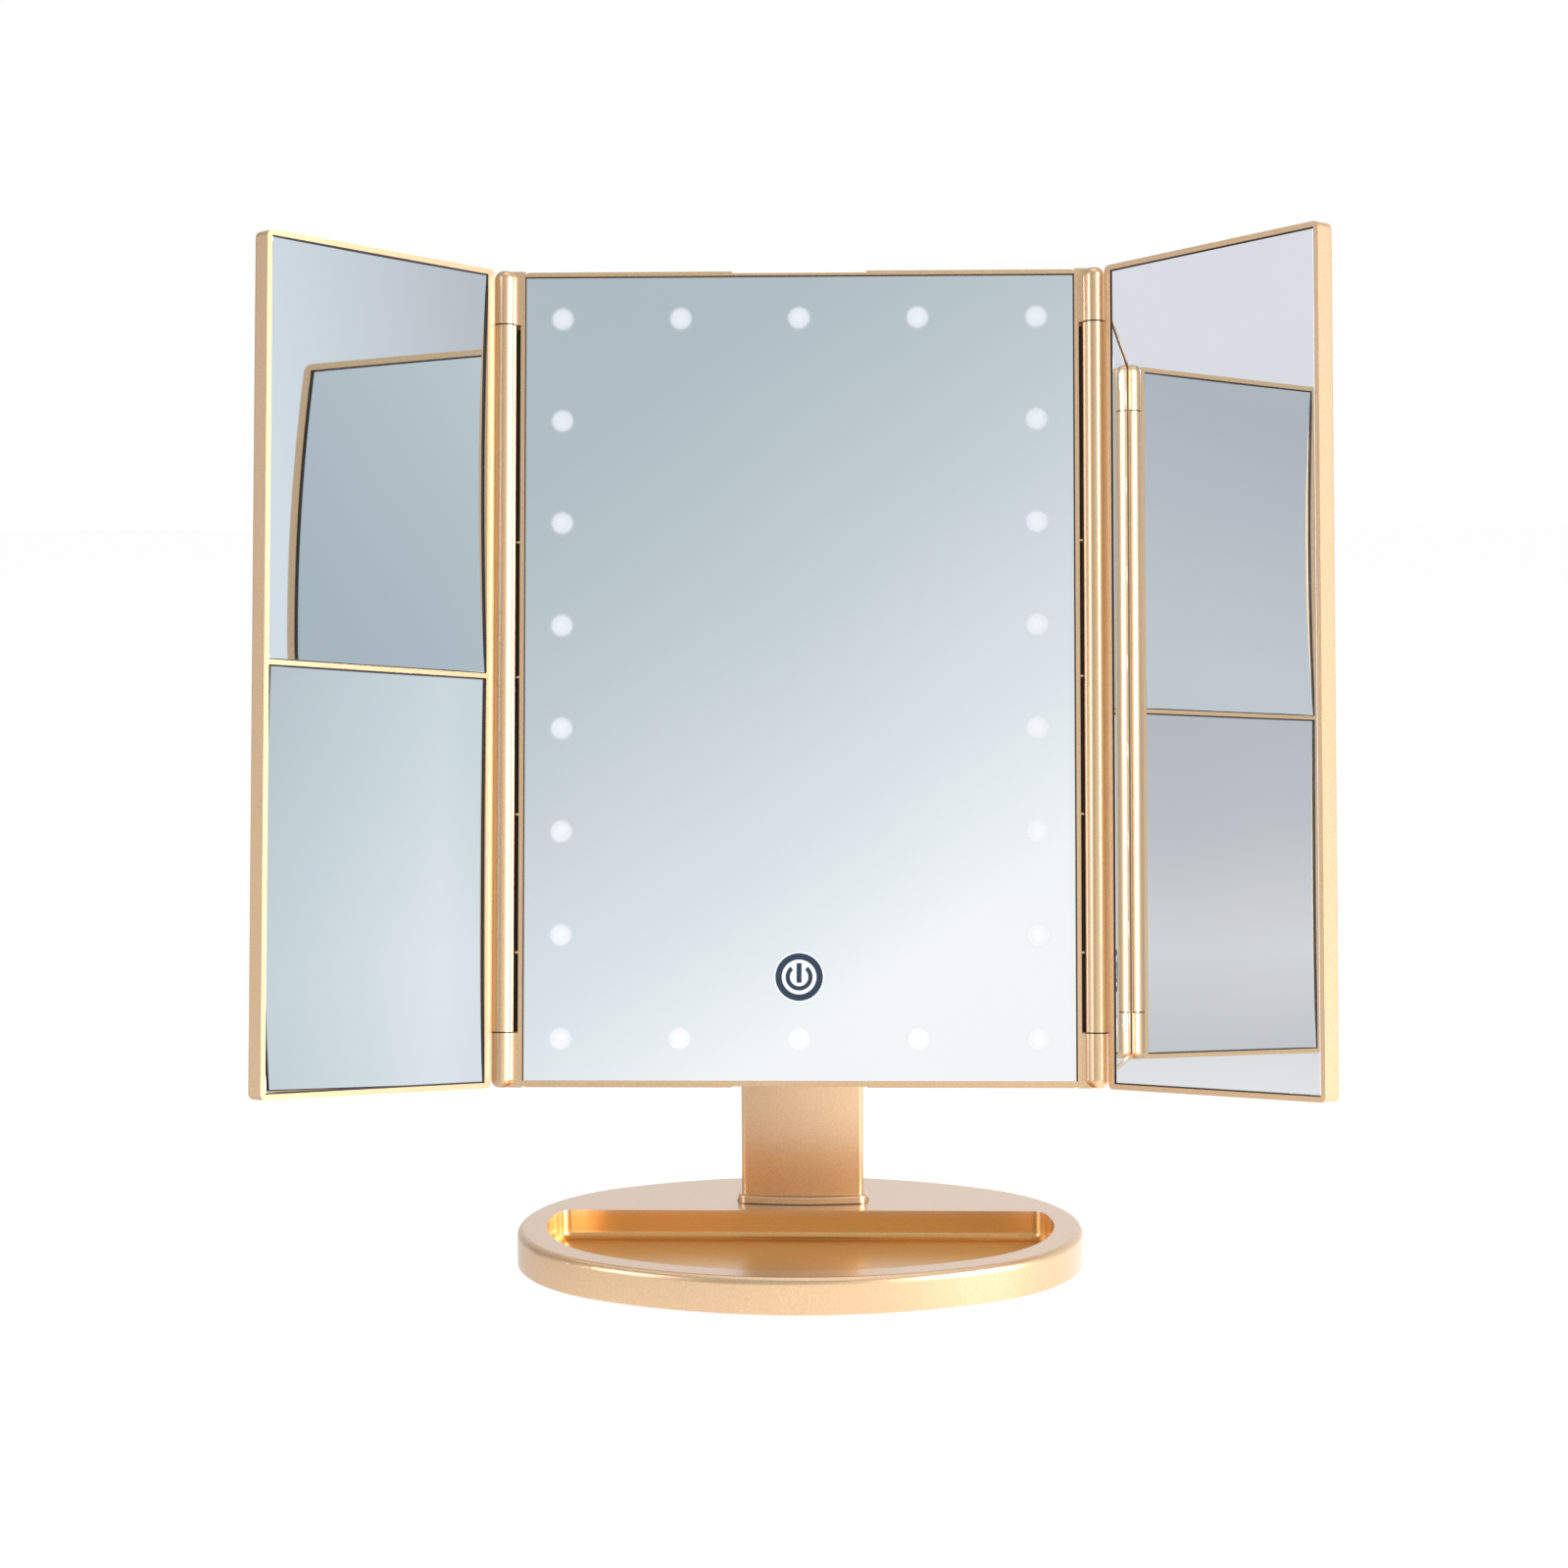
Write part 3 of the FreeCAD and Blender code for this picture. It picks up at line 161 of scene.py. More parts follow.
class Graph:
    # short words for making a tree's nodes and joining them
    def __init__(self, tree):
        self.tree = tree

    def feed(self, socket, value):
        # a socket takes a link, or else a plain value
        if isinstance(value, bpy.types.NodeSocket):
            self.tree.links.new(value, socket)
        elif socket.type == "RGBA":
            socket.default_value = (*value, 1.0)
        else:
            socket.default_value = value

    def node(self, kind, **values):
        # each word is a socket, with _ for a space, or else a setting of the node
        made = self.tree.nodes.new("ShaderNode" + kind)
        for key, value in values.items():
            socket = key.replace("_", " ")
            if socket in made.inputs:
                self.feed(made.inputs[socket], value)
            else:
                setattr(made, key, value)
        return made

    def ramp(self, source, stops):
        # stops: list of (place from 0 to 1, colour)
        made = self.node("ValToRGB", Fac=source)
        elements = made.color_ramp.elements
        while len(elements) < len(stops):
            elements.new(0.5)
        for element, (place, colour) in zip(elements, stops):
            element.position = place
            element.color = (*colour, 1.0)
        return made.outputs["Color"]

    def spread(self, source, low, high, fromLow=0.3, fromHigh=0.7, curve="LINEAR"):
        # stretches a source, by default the middle of a noise, from low to high
        made = self.node("MapRange", interpolation_type=curve, Value=source, From_Min=fromLow, From_Max=fromHigh,
                         To_Min=low, To_Max=high)
        return made.outputs["Result"]

    def ease(self, source, low, high, fromLow, fromHigh):
        return self.spread(source, low, high, fromLow, fromHigh, "SMOOTHSTEP")

    def combine(self, operation, *values):
        made = self.node("Math", operation=operation)
        for socket, value in zip(made.inputs, values):
            self.feed(socket, value)
        return made.outputs[0]

    def blend(self, share, first, second, kind="MIX"):
        return self.node("MixRGB", blend_type=kind, Fac=share, Color1=first, Color2=second).outputs["Color"]


class Finish(Graph):
    # a new material with its shader and its coordinates
    def __init__(self, name):
        self.material = bpy.data.materials.new(name)
        self.material.use_nodes = True
        super().__init__(self.material.node_tree)
        self.shader = self.tree.nodes["Principled BSDF"]
        self.coords = self.node("TexCoord").outputs

    def set(self, **values):
        for key, value in values.items():
            self.feed(self.shader.inputs[key.replace("_", " ")], value)
        return self

    def noise(self, scale, detail=2.0, roughness=0.5):
        made = self.node("TexNoise", Scale=scale, Detail=detail, Roughness=roughness, Vector=self.coords["Object"])
        return made.outputs["Fac"]

    def bump(self, source, strength, distance):
        made = self.node("Bump", Strength=strength, Distance=distance, Height=source)
        self.set(Normal=made.outputs["Normal"])


def grey(level):
    return (level, level, level)


goldPlan = {"flakes": [(0.3, (0.750, 0.475, 0.236)), (0.5, (0.850, 0.553, 0.284)), (0.7, (0.940, 0.635, 0.340))],
            "flakeScale": 3200.0, "flakeGrain": 0.6, "bump": (0.04, 0.00003), "sheenScale": 900.0, "sheenDetail": 4.0,
            "rough": (0.34, 0.38), "coat": 1.0, "coatIor": 1.9, "coatRough": 0.20}
# where the tray's painted shade lies, and the deeper tint it multiplies in
trayShadePlan = {"reach": (0.0735, 0.0520), "edge": (0.98, 1.0), "top": (0.0080, 0.0100), "shadeTint": (1.0, 0.85, 0.42)}


def trayShadeShare(finish):
    # painted-shade mask: one inside the tray's oval and below its rim, none outside
    reachX, reachY = trayShadePlan["reach"]
    oval = finish.node("Mapping", Scale=(1 / reachX, 1 / reachY, 0.0), Vector=finish.coords["Object"])
    size = finish.node("VectorMath", operation="LENGTH", Vector=oval.outputs["Vector"])
    place = finish.node("SeparateXYZ", Vector=finish.coords["Object"])
    inside = finish.spread(size.outputs["Value"], 1.0, 0.0, *trayShadePlan["edge"])
    below = finish.spread(place.outputs["Z"], 1.0, 0.0, *trayShadePlan["top"])
    return finish.combine("MULTIPLY", inside, below)


def goldPaint(name, paintedTrayShade=False):
    # satin metallic lacquer: three close golds picked by a flake noise, with uneven sheen;
    # in the tray the gold is multiplied deeper, a painted shade for the tray's hollow
    finish = Finish(name).set(Metallic=1.0, Coat_Weight=goldPlan["coat"], Coat_IOR=goldPlan["coatIor"],
                              Coat_Roughness=goldPlan["coatRough"])
    flake = finish.noise(goldPlan["flakeScale"], roughness=goldPlan["flakeGrain"])
    colour = finish.ramp(flake, goldPlan["flakes"])
    if paintedTrayShade:
        colour = finish.blend(trayShadeShare(finish), colour, trayShadePlan["shadeTint"], "MULTIPLY")
    sheen = finish.noise(goldPlan["sheenScale"], detail=goldPlan["sheenDetail"])
    finish.set(Base_Color=colour, Roughness=finish.spread(sheen, *goldPlan["rough"]))
    finish.bump(flake, *goldPlan["bump"])
    return finish.material


silverPlan = {"cloudScale": 14.0, "cloudDetail": 1.0, "rough": (0.004, 0.010),
              "clouds": [(0.3, (0.885, 0.915, 0.930)), (0.7, (0.905, 0.930, 0.945))]}


def mirrorSilver():
    # silvered glass, with a trace of unevenness in the coating
    finish = Finish("silvered_glass")
    cloud = finish.noise(silverPlan["cloudScale"], silverPlan["cloudDetail"])
    colour = finish.ramp(cloud, silverPlan["clouds"])
    finish.set(Metallic=1.0, Base_Color=colour, Roughness=finish.spread(cloud, *silverPlan["rough"]))
    return finish.material


spotPlan = {"white": (0.60, 0.62, 0.64), "silver": (0.895, 0.922, 0.938), "glow": 0.45, "fade": (0.60, 1.0),
            "mirrored": 0.70, "frostScale": 2600.0, "frost": (0.09, 0.11), "clear": 0.01,
            "lit": [(0.0, 1.0), (0.3, 0.97), (0.6, 0.88), (0.7, 0.73), (0.8, 0.43), (0.9, 0.13), (1.0, 0.0)]}


def frostedSpot():
    # etched window lit from behind, read from the disc's own radius: milky and glowing in the middle,
    # thinning out into plain silvered glass at its rim
    finish = Finish("etched_window")
    radius = finish.node("SeparateXYZ", Vector=finish.coords["UV"]).outputs["X"]
    start, stop = spotPlan["fade"]
    frost = finish.spread(finish.noise(spotPlan["frostScale"]), *spotPlan["frost"])
    colour = finish.ramp(radius, [(0.0, spotPlan["white"]), (start, spotPlan["white"]), (stop, spotPlan["silver"])])
    glow = finish.ramp(radius, [(place, grey(level)) for place, level in spotPlan["lit"]])
    finish.set(Base_Color=colour, Metallic=finish.ease(radius, spotPlan["mirrored"], 1.0, start, stop),
               Roughness=finish.ease(radius, frost, spotPlan["clear"], start, stop),
               Emission_Color=glow, Emission_Strength=spotPlan["glow"])
    return finish.material


grainPlan = {"scale": 2500.0, "detail": 3.0, "grain": 0.6, "stops": (0.35, 0.65), "sheen": 0.05, "bump": 0.25,
             "bumpDepth": 0.00006}


def moulded(name, dark, light, roughness, scale=grainPlan["scale"], bumpDepth=grainPlan["bumpDepth"], metallic=0.0):
    # fine-grained finish: two close shades and a light bump from the same noise
    finish = Finish(name)
    grain = finish.noise(scale, grainPlan["detail"], grainPlan["grain"])
    colour = finish.ramp(grain, list(zip(grainPlan["stops"], (dark, light))))
    sheen = finish.spread(grain, roughness - grainPlan["sheen"], roughness + grainPlan["sheen"])
    finish.set(Metallic=metallic, Base_Color=colour, Roughness=sheen)
    finish.bump(grain, grainPlan["bump"], bumpDepth)
    return finish.material


gold = goldPaint("gold_lacquer")
# the gold with painted shade in the tray's hollow
trayShadedGold = goldPaint("gold_lacquer_tray_painted_shade", paintedTrayShade=True)
silver = mirrorSilver()
frosted = frostedSpot()
whitePlastic = moulded("white_plastic", (0.78, 0.78, 0.76), (0.84, 0.84, 0.82), 0.5)
boardGreen = moulded("solder_mask", (0.010, 0.075, 0.030), (0.016, 0.105, 0.045), 0.35, scale=1200.0)
lampLens = moulded("lamp_lens", (0.86, 0.78, 0.42), (0.92, 0.84, 0.50), 0.25)
zincSteel = moulded("zinc_steel", (0.46, 0.47, 0.48), (0.60, 0.61, 0.62), 0.34, scale=1800.0, metallic=1.0)
nickel = moulded("nickel_plate", (0.56, 0.53, 0.48), (0.66, 0.63, 0.58), 0.28, scale=1500.0, metallic=1.0)
cellWrap = moulded("cell_wrap", (0.028, 0.032, 0.040), (0.040, 0.045, 0.055), 0.3, scale=600.0)
blackPlastic = moulded("black_plastic", (0.012, 0.012, 0.013), (0.022, 0.022, 0.024), 0.45)
softFoam = moulded("pad_foam", (0.016, 0.016, 0.017), (0.030, 0.030, 0.031), 0.85, scale=3000.0, bumpDepth=0.0002)
# black and brown painted shade for the seat walls, the hinge gaps and the stem's foot
shadeBlack = moulded("painted_shade_black", (0.016, 0.011, 0.008), (0.026, 0.018, 0.013), 0.55)
shadeBrown = moulded("painted_shade_brown", (0.085, 0.052, 0.030), (0.110, 0.068, 0.040), 0.5)
darkPrint = moulded("slate_print", (0.018, 0.036, 0.062), (0.024, 0.046, 0.078), 0.5)

finishOf = {"gold_paint": gold, "mirror_glass": silver, "frosted_glass": frosted, "white_plastic": whitePlastic,
            "circuit_board": boardGreen, "led_lens": lampLens, "steel": zincSteel, "nickel_contact": nickel,
            "cell_jacket": cellWrap, "black_plastic": blackPlastic, "soft_pad": softFoam}
for node in nodes.values():
    for place in node.material_slots:
        place.material = finishOf[place.material.name]
# the base shell takes the gold with the tray's painted shade
nodes["base_shell"].material_slots[0].material = trayShadedGold
print("finishes set on the carried nodes")


# glasses: a sheet with a ground edge, flat or bowed

edgePlan = {"bevel": 0.35, "drop": 0.10, "sharpDeg": 4.0}
centreGlass = {"half": (78.1, 114.4), "sink": 0.5, "thick": 2.3}
wingGlass = {"out": (6.1, 81.3), "half": 114.4, "split": 0.75, "sink": 0.4, "flatThick": 2.0, "bowedThick": 1.0,
             "lines": 60}
upperBow = {"across": 985.0, "along": 985.0, "sink": 0.4}
lowerBow = {"across": 735.0, "along": 4000.0, "flatten": (21.0, 640.0), "turnUp": (-80.0, 1500.0), "sink": 0.7}


def bowDepth(spanA, spanB, bow, a, b):
    # how far a bowed sheet lies below its corners: two parabolas added, one more that flattens the hinge side,
    # less one that turns up the foot
    if not bow:
        return 0 * a
    midA, midB = sum(spanA) / 2, sum(spanB) / 2
    halfA, halfB = (spanA[1] - spanA[0]) / 2, (spanB[1] - spanB[0]) / 2
    dip = (halfA ** 2 - (a - midA) ** 2) / bow["across"] / 2 + (halfB ** 2 - (b - midB) ** 2) / bow["along"] / 2
    for key, sign, line in (("flatten", 1, a), ("turnUp", -1, b)):
        if key in bow:
            start, radius = bow[key]
            dip = dip + sign * np.maximum(0, start - line) ** 2 / radius / 2
    return dip


def glassSheet(name, place, spanA, spanB, sink, thick, bow=None, lines=2):
    # depth = sink plus the bow, plus the drop of the ground edge on the outermost lines
    bevel = edgePlan["bevel"]
    lineA, lineB = (np.concatenate([span[:1], np.linspace(span[0] + bevel, span[1] - bevel, lines), span[1:]])
                    for span in (spanA, spanB))
    a, b = np.meshgrid(lineA, lineB, indexing="ij")
    depth = sink + bowDepth(spanA, spanB, bow, a, b)
    edge = np.zeros(a.shape, bool)
    edge[[0, -1], :] = True
    edge[:, [0, -1]] = True
    front = place(a, depth + edgePlan["drop"] * edge, b)
    back = place(a, depth + thick, b)
    walls = [np.stack([front[0], back[0]]), np.stack([front[-1], back[-1]]),
             np.stack([front[:, 0], back[:, 0]]), np.stack([front[:, -1], back[:, -1]])]
    return addMesh(name, [(grid, False, False) for grid in [front, back] + walls], edgePlan["sharpDeg"])


def makeGlasses():
    w, h = centreGlass["half"]
    sheet = glassSheet("centre_glass", headPoint, (-w, w), (-h, h), centreGlass["sink"], centreGlass["thick"])
    settle(sheet, "head", silver)
    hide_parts("main_mirror")
    out, half, split = wingGlass["out"], wingGlass["half"], wingGlass["split"]
    sheet = glassSheet("right_glass", rightPlace, out, (-half, half), wingGlass["sink"], wingGlass["flatThick"])
    settle(sheet, "right_wing", silver)
    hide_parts("right_mirror")
    for word, span, bow in (("upper", (split, half), upperBow), ("lower", (-half, -split), lowerBow)):
        sheet = glassSheet(f"left_{word}_glass", leftPlace, out, span, bow["sink"], wingGlass["bowedThick"],
                           bow, wingGlass["lines"])
        settle(sheet, "left_wing", silver)
        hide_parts(f"left_{word}_mirror")


# dark strips of painted shade that line the seats from just under the rim down to the glass

shadeStripPlan = {"gap": 0.1, "wide": 0.24, "foot": -0.10, "under": 0.22, "high": 0.55, "least": 0.18, "lap": 0.06,
            "steps": 40}


def shadeStripRing(name, place, spanA, spanB, sink, bow=None, lowWide=shadeStripPlan["wide"]):
    # a painted-shade strip carried round the seat: along each wall, from the wall inwards and from the rim down to
    # the glass
    (lowA, highA), (lowB, highB) = spanA, spanB
    share = np.linspace(0, 1, shadeStripPlan["steps"], endpoint=False)
    none, full = 0 * share, 0 * share + 1
    a = lowA + (highA - lowA) * np.concatenate([share, full, 1 - share, none])
    b = lowB + (highB - lowB) * np.concatenate([none, share, full, 1 - share])
    midA, midB = (lowA + highA) / 2, (lowB + highB) / 2
    innerA = (a - midA) * (1 - 2 * shadeStripPlan["wide"] / (highA - lowA)) + midA
    innerB = (b - midB) * (1 - 2 * shadeStripPlan["wide"] / (highB - lowB)) + midB
    innerB = np.where(b > lowB, innerB, lowB + lowWide)
    floor = sink + bowDepth(spanA, spanB, bow, a, b) + shadeStripPlan["lap"]
    top = np.clip(floor - shadeStripPlan["high"], shadeStripPlan["under"], floor - shadeStripPlan["least"])
    strip = [place(a, top, b), place(innerA, top, innerB), place(innerA, floor, innerB), place(a, floor, b)]
    return addMesh(name, [(np.stack(strip, 1), True, True)])


footBead = {"deep": (0.10, 0.62), "up": (-114.60, -114.02)}


def makeShadeStrips():
    gap = shadeStripPlan["gap"]
    w, h = (half + gap for half in centreGlass["half"])
    # along the foot of the centre glass the painted-shade strip stays inside the frame, and a gold bead closes the
    # gap
    shade_strip = shadeStripRing("centre_shade_strip", headPoint, (-w, w), (-h, h), centreGlass["sink"], lowWide=shadeStripPlan["foot"])
    settle(shade_strip, "head", shadeBrown)
    bead = headBlock(-w, w, *footBead["deep"], *footBead["up"])
    settle(addMesh("centre_foot_bead", bead), "head", gold)
    out = (wingGlass["out"][0] - gap, wingGlass["out"][1] + gap)
    half, split = wingGlass["half"] + gap, wingGlass["split"] - gap
    settle(shadeStripRing("right_shade_strip", rightPlace, out, (-half, half), wingGlass["sink"]),
           "right_wing", shadeBlack)
    for word, span, bow in (("upper", (split, half), upperBow), ("lower", (-half, -split), lowerBow)):
        settle(shadeStripRing(f"left_{word}_seal", leftPlace, out, span, bow["sink"], bow),
               "left_wing", shadeBlack)


# trim and painted shade in the slots beside the hinges

ribPlan = {"ups": (-78.0, -39.0, 0.0, 38.5), "out": (79.3, 80.3), "deep": (1.2, 4.2), "high": 0.55}


def makeRibs():
    # short ribs across the slots, on the head's side walls
    half = ribPlan["high"] / 2
    blocks = []
    for side in (-1, 1):
        reach = [side * out for out in ribPlan["out"]]
        for up in ribPlan["ups"]:
            blocks += headBlock(*reach, *ribPlan["deep"], up - half, up + half)
    settle(addMesh("hinge_ribs", blocks), "head", gold)


gapShadePlan = {"out": (79.43, 83.0), "deep": (6.9, 7.02), "up": 100.5}


def makeGapShade():
    # painted shade at the bottom of the slots: a dark strip on each flange
    strips = []
    for side in (-1, 1):
        reach = [side * out for out in gapShadePlan["out"]]
        strips += headBlock(*reach, *gapShadePlan["deep"], -gapShadePlan["up"], gapShadePlan["up"])
    settle(addMesh("hinge_gap_painted_shade", strips), "head", shadeBlack)


gapDiscPlan = {"radius": (1.6, 3.08), "up": (100.23, 100.61), "around": 48}


def makeHingeGapShade():
    # dark discs of painted shade between the barrels and the fixed knuckles: a small rectangle turned round the hinge
    # axis
    inner, outer = gapDiscPlan["radius"]
    low, high = gapDiscPlan["up"]
    turn = np.linspace(0, 2 * np.pi, gapDiscPlan["around"], endpoint=False)
    t, r = np.meshgrid(turn, [inner, outer, outer, inner], indexing="ij")
    rise = np.broadcast_to([low, low, high, high], r.shape)
    flat = along(acrossDir, r * np.cos(t)) + along(backDir, r * np.sin(t))
    shadeDiscs = [(hingePos[side] + flat + along(upDir, end * rise), True, True) for side in (-1, 1) for end in (-1, 1)]
    settle(addMesh("hinge_gap_shade_discs", shadeDiscs), "head", shadeBlack)


# painted shade round the stem's foot

footShadePlan = {"side": 18.85, "front": 21.55, "back": 34.25, "bulge": 2.0, "round": 2.75, "roundShare": 1.17,
            "base": 10.3, "wide": 0.32, "high": 0.34, "points": (200, 60), "steps": 480,
            "outProfile": (-0.1, 1.0, 0.6, -0.1), "riseProfile": (-0.1, -0.1, 0.7, 1.0)}


def makeFootShade():
    # a dark bead of painted shade round the stem's foot: two parabolas joined by straight sides, corners rounded
    # by averaging along the line, and a low profile carried round
    side, bulge = footShadePlan["side"], footShadePlan["bulge"]
    acrossPoints, sidePoints = footShadePlan["points"]
    x = np.linspace(-side, side, acrossPoints)
    depth = np.linspace(footShadePlan["front"] + bulge, footShadePlan["back"] - bulge, sidePoints)[1:-1]
    dip = bulge * (x / side) ** 2
    line = np.vstack([np.stack([x, footShadePlan["front"] + dip], 1), np.stack([0 * depth + side, depth], 1),
                      np.stack([-x, footShadePlan["back"] - dip], 1), np.stack([0 * depth - side, depth[::-1]], 1)])
    length = np.concatenate([[0], np.cumsum(np.linalg.norm(np.roll(line, -1, 0) - line, axis=1))])
    even = np.linspace(0, length[-1], footShadePlan["steps"], endpoint=False)
    line = np.stack([np.interp(even, length, np.append(line[:, axis], line[0, axis])) for axis in (0, 1)], 1)
    reach = int(round(footShadePlan["roundShare"] * footShadePlan["round"] / (even[1] - even[0])))
    line = np.mean([np.roll(line, shift, 0) for shift in range(-reach, reach + 1)], 0)
    run = np.roll(line, -1, 0) - np.roll(line, 1, 0)
    away = np.stack([run[:, 1], -run[:, 0]], 1) / np.linalg.norm(run, axis=1)[:, None]
    out = np.array(footShadePlan["outProfile"]) * footShadePlan["wide"]
    rise = np.array(footShadePlan["riseProfile"]) * footShadePlan["high"] + footShadePlan["base"]
    flat = line[:, None] + away[:, None] * out[:, None]
    ring = np.concatenate([flat, np.broadcast_to(rise[:, None], flat.shape[:2] + (1,))], 2) * mm
    settle(addMesh("foot_painted_shade", [(ring, True, True)]), "stand", shadeBrown)


# small rear details, placed on the carried nodes

rearFlat = 0.05    # corners this near the rearmost one count as the same flat


def onHead(node):
    # a carried node's corners as millimetres sideways, back and up on the head
    points = np.empty(len(node.data.vertices) * 3)
    node.data.vertices.foreach_get("co", points)
    return (points.reshape(-1, 3) - faceMiddle) / mm @ np.stack([acrossDir, backDir, upDir], 1)


def rearFace(points):
    # the corners that lie on the rearmost flat
    return points[points[:, 1] > points[:, 1].max() - rearFlat]


crossPlan = {"long": 2.5, "wide": 0.62, "proud": 0.03, "deep": 0.05}


def makeScrewCrosses():
    # two crossed bars on each rear screw's head, one screw in each quarter of the head
    points = onHead(nodes["housing_screws"])
    bars = []
    for sign in ((-1, -1), (-1, 1), (1, -1), (1, 1)):
        top = rearFace(points[(np.sign(points[:, 0]) == sign[0]) & (np.sign(points[:, 2]) == sign[1])])
        x, deep, up = (top.min(0) + top.max(0)) / 2
        for wide, high in ((crossPlan["long"], crossPlan["wide"]), (crossPlan["wide"], crossPlan["long"])):
            bars += headBlock(x - wide / 2, x + wide / 2, deep - crossPlan["deep"], deep + crossPlan["proud"],
                              up - high / 2, up + high / 2)
    settle(addMesh("screw_crosses", bars), "head", blackPlastic)


gripPlan = {"count": 4, "inset": 0.35, "share": 0.45, "proud": 0.22, "deep": 0.05}


def makeSwitchGrip():
    # ridges across the slider's rear face, evenly spaced up it
    top = rearFace(onHead(nodes["switch_slider"]))
    (lowX, deep, lowUp), (highX, _, highUp) = top.min(0), top.max(0)
    inset = gripPlan["inset"]
    pitch = (highUp - lowUp - 2 * inset) / gripPlan["count"]
    half = gripPlan["share"] * pitch / 2
    ridges = []
    for place in range(gripPlan["count"]):
        up = lowUp + inset + (place + 0.5) * pitch
        ridges += headBlock(lowX + inset, highX - inset, deep - gripPlan["deep"], deep + gripPlan["proud"],
                            up - half, up + half)
    settle(addMesh("switch_grip", ridges), "power_switch", blackPlastic)


makeGlasses()
makeShadeStrips()
makeRibs()
makeGapShade()
makeHingeGapShade()
makeFootShade()
makeScrewCrosses()
makeSwitchGrip()
# the seals and the foot seam named here are dark strips of painted shade
print("glasses, seals, hinge trim, foot seam and rear details made")


# light windows and the touch sign on the centre glass

discRim = 0.1    # how far a disc's rim goes into the glass


def faceDisc(x, up, radius, proud, rings, around, uvShare=1.0):
    # a flat disc just proud of the glass, radius from 0 to 1 turned round its middle, rim dropped into the glass;
    # its UV holds the radius and the turn
    share = np.append(np.linspace(0, 1, rings), 1.0)
    turn = np.linspace(0, 2 * np.pi, around, endpoint=False)
    r, t = np.meshgrid(share, turn, indexing="ij")
    depth = np.full(r.shape, centreGlass["sink"] - proud)
    depth[-1] = centreGlass["sink"] + discRim
    points = headPoint(x + radius * r * np.cos(t), depth, up + radius * r * np.sin(t))
    return points, False, True, np.stack([uvShare * r, t / (2 * np.pi)], -1)


lightPlan = {"reach": (67.4, 102.3), "rows": 8, "columns": 5, "radius": 3.75, "proud": 0.06, "rings": 9, "around": 40}


def lightSpots():
    # full columns down both sides, end rows between them
    reachX, reachUp = lightPlan["reach"]
    ups = np.linspace(reachUp, -reachUp, lightPlan["rows"])
    across = np.linspace(-reachX, reachX, lightPlan["columns"])
    sides = np.stack(np.meshgrid(across[[0, -1]], ups), -1).reshape(-1, 2)
    ends = np.stack(np.meshgrid(across[1:-1], ups[[0, -1]]), -1).reshape(-1, 2)
    return np.vstack([sides, ends])


def makeLights():
    shape = [lightPlan[key] for key in ("radius", "proud", "rings", "around")]
    windows = addMesh("light_discs", [faceDisc(x, up, *shape) for x, up in lightSpots()])
    settle(windows, "head", frosted)
    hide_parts("light_windows")


signPlan = {"up": -84.9, "ring": (4.9, 6.68), "arc": (2.6, 3.8), "gapDeg": 40.0, "bar": (1.42, -1.6, 3.9),
            "proud": 0.07, "root": 0.05, "around": 96, "halo": 7.1, "haloRings": 6, "haloShare": 0.4}


def ringBand(inner, outer, start, stop, closed):
    # a flat band swept round an arc: four corner lines, radius and depth fixed on each
    turn = np.linspace(start, stop, signPlan["around"], endpoint=not closed)
    t, r = np.meshgrid(turn, [inner, inner, outer, outer], indexing="ij")
    front, root = centreGlass["sink"] - signPlan["proud"], centreGlass["sink"] + signPlan["root"]
    depth = np.broadcast_to([root, front, front, root], r.shape)
    return headPoint(r * np.sin(t), depth, signPlan["up"] + r * np.cos(t))


def makeSign():
    # a ring, an open arc and a short bar, over a disc that stays in the milky part of the fade
    sink, proud, middle = centreGlass["sink"], signPlan["proud"], signPlan["up"]
    gap = math.radians(signPlan["gapDeg"])
    ring = ringBand(*signPlan["ring"], 0, 2 * math.pi, True)
    arc = ringBand(*signPlan["arc"], gap, 2 * math.pi - gap, False)
    wide, low, high = signPlan["bar"]
    bar = headBlock(-wide / 2, wide / 2, sink - proud, sink + signPlan["root"], middle + low, middle + high)
    grids = [(ring, True, True), (arc, False, True), endCap(arc[0]), endCap(arc[-1])] + bar
    settle(addMesh("touch_sign", grids), "head", darkPrint)
    disc = faceDisc(0.0, middle, signPlan["halo"], proud / 2, signPlan["haloRings"], signPlan["around"],
                    signPlan["haloShare"])
    settle(addMesh("touch_window", [disc]), "head", frosted)


makeLights()
makeSign()
print("lights and touch sign made")


# stage: floor, world, lamps and camera

floorPlan = {"half": 6.0, "drop": 0.0003, "glow": 0.86, "diffuse": 0.30, "sheenReach": (-0.5, 0.5),
             "sheen": [(0.0, 0.62), (0.22, 0.58), (0.35, 0.38), (0.5, 0.84), (0.60, 1.0)]}


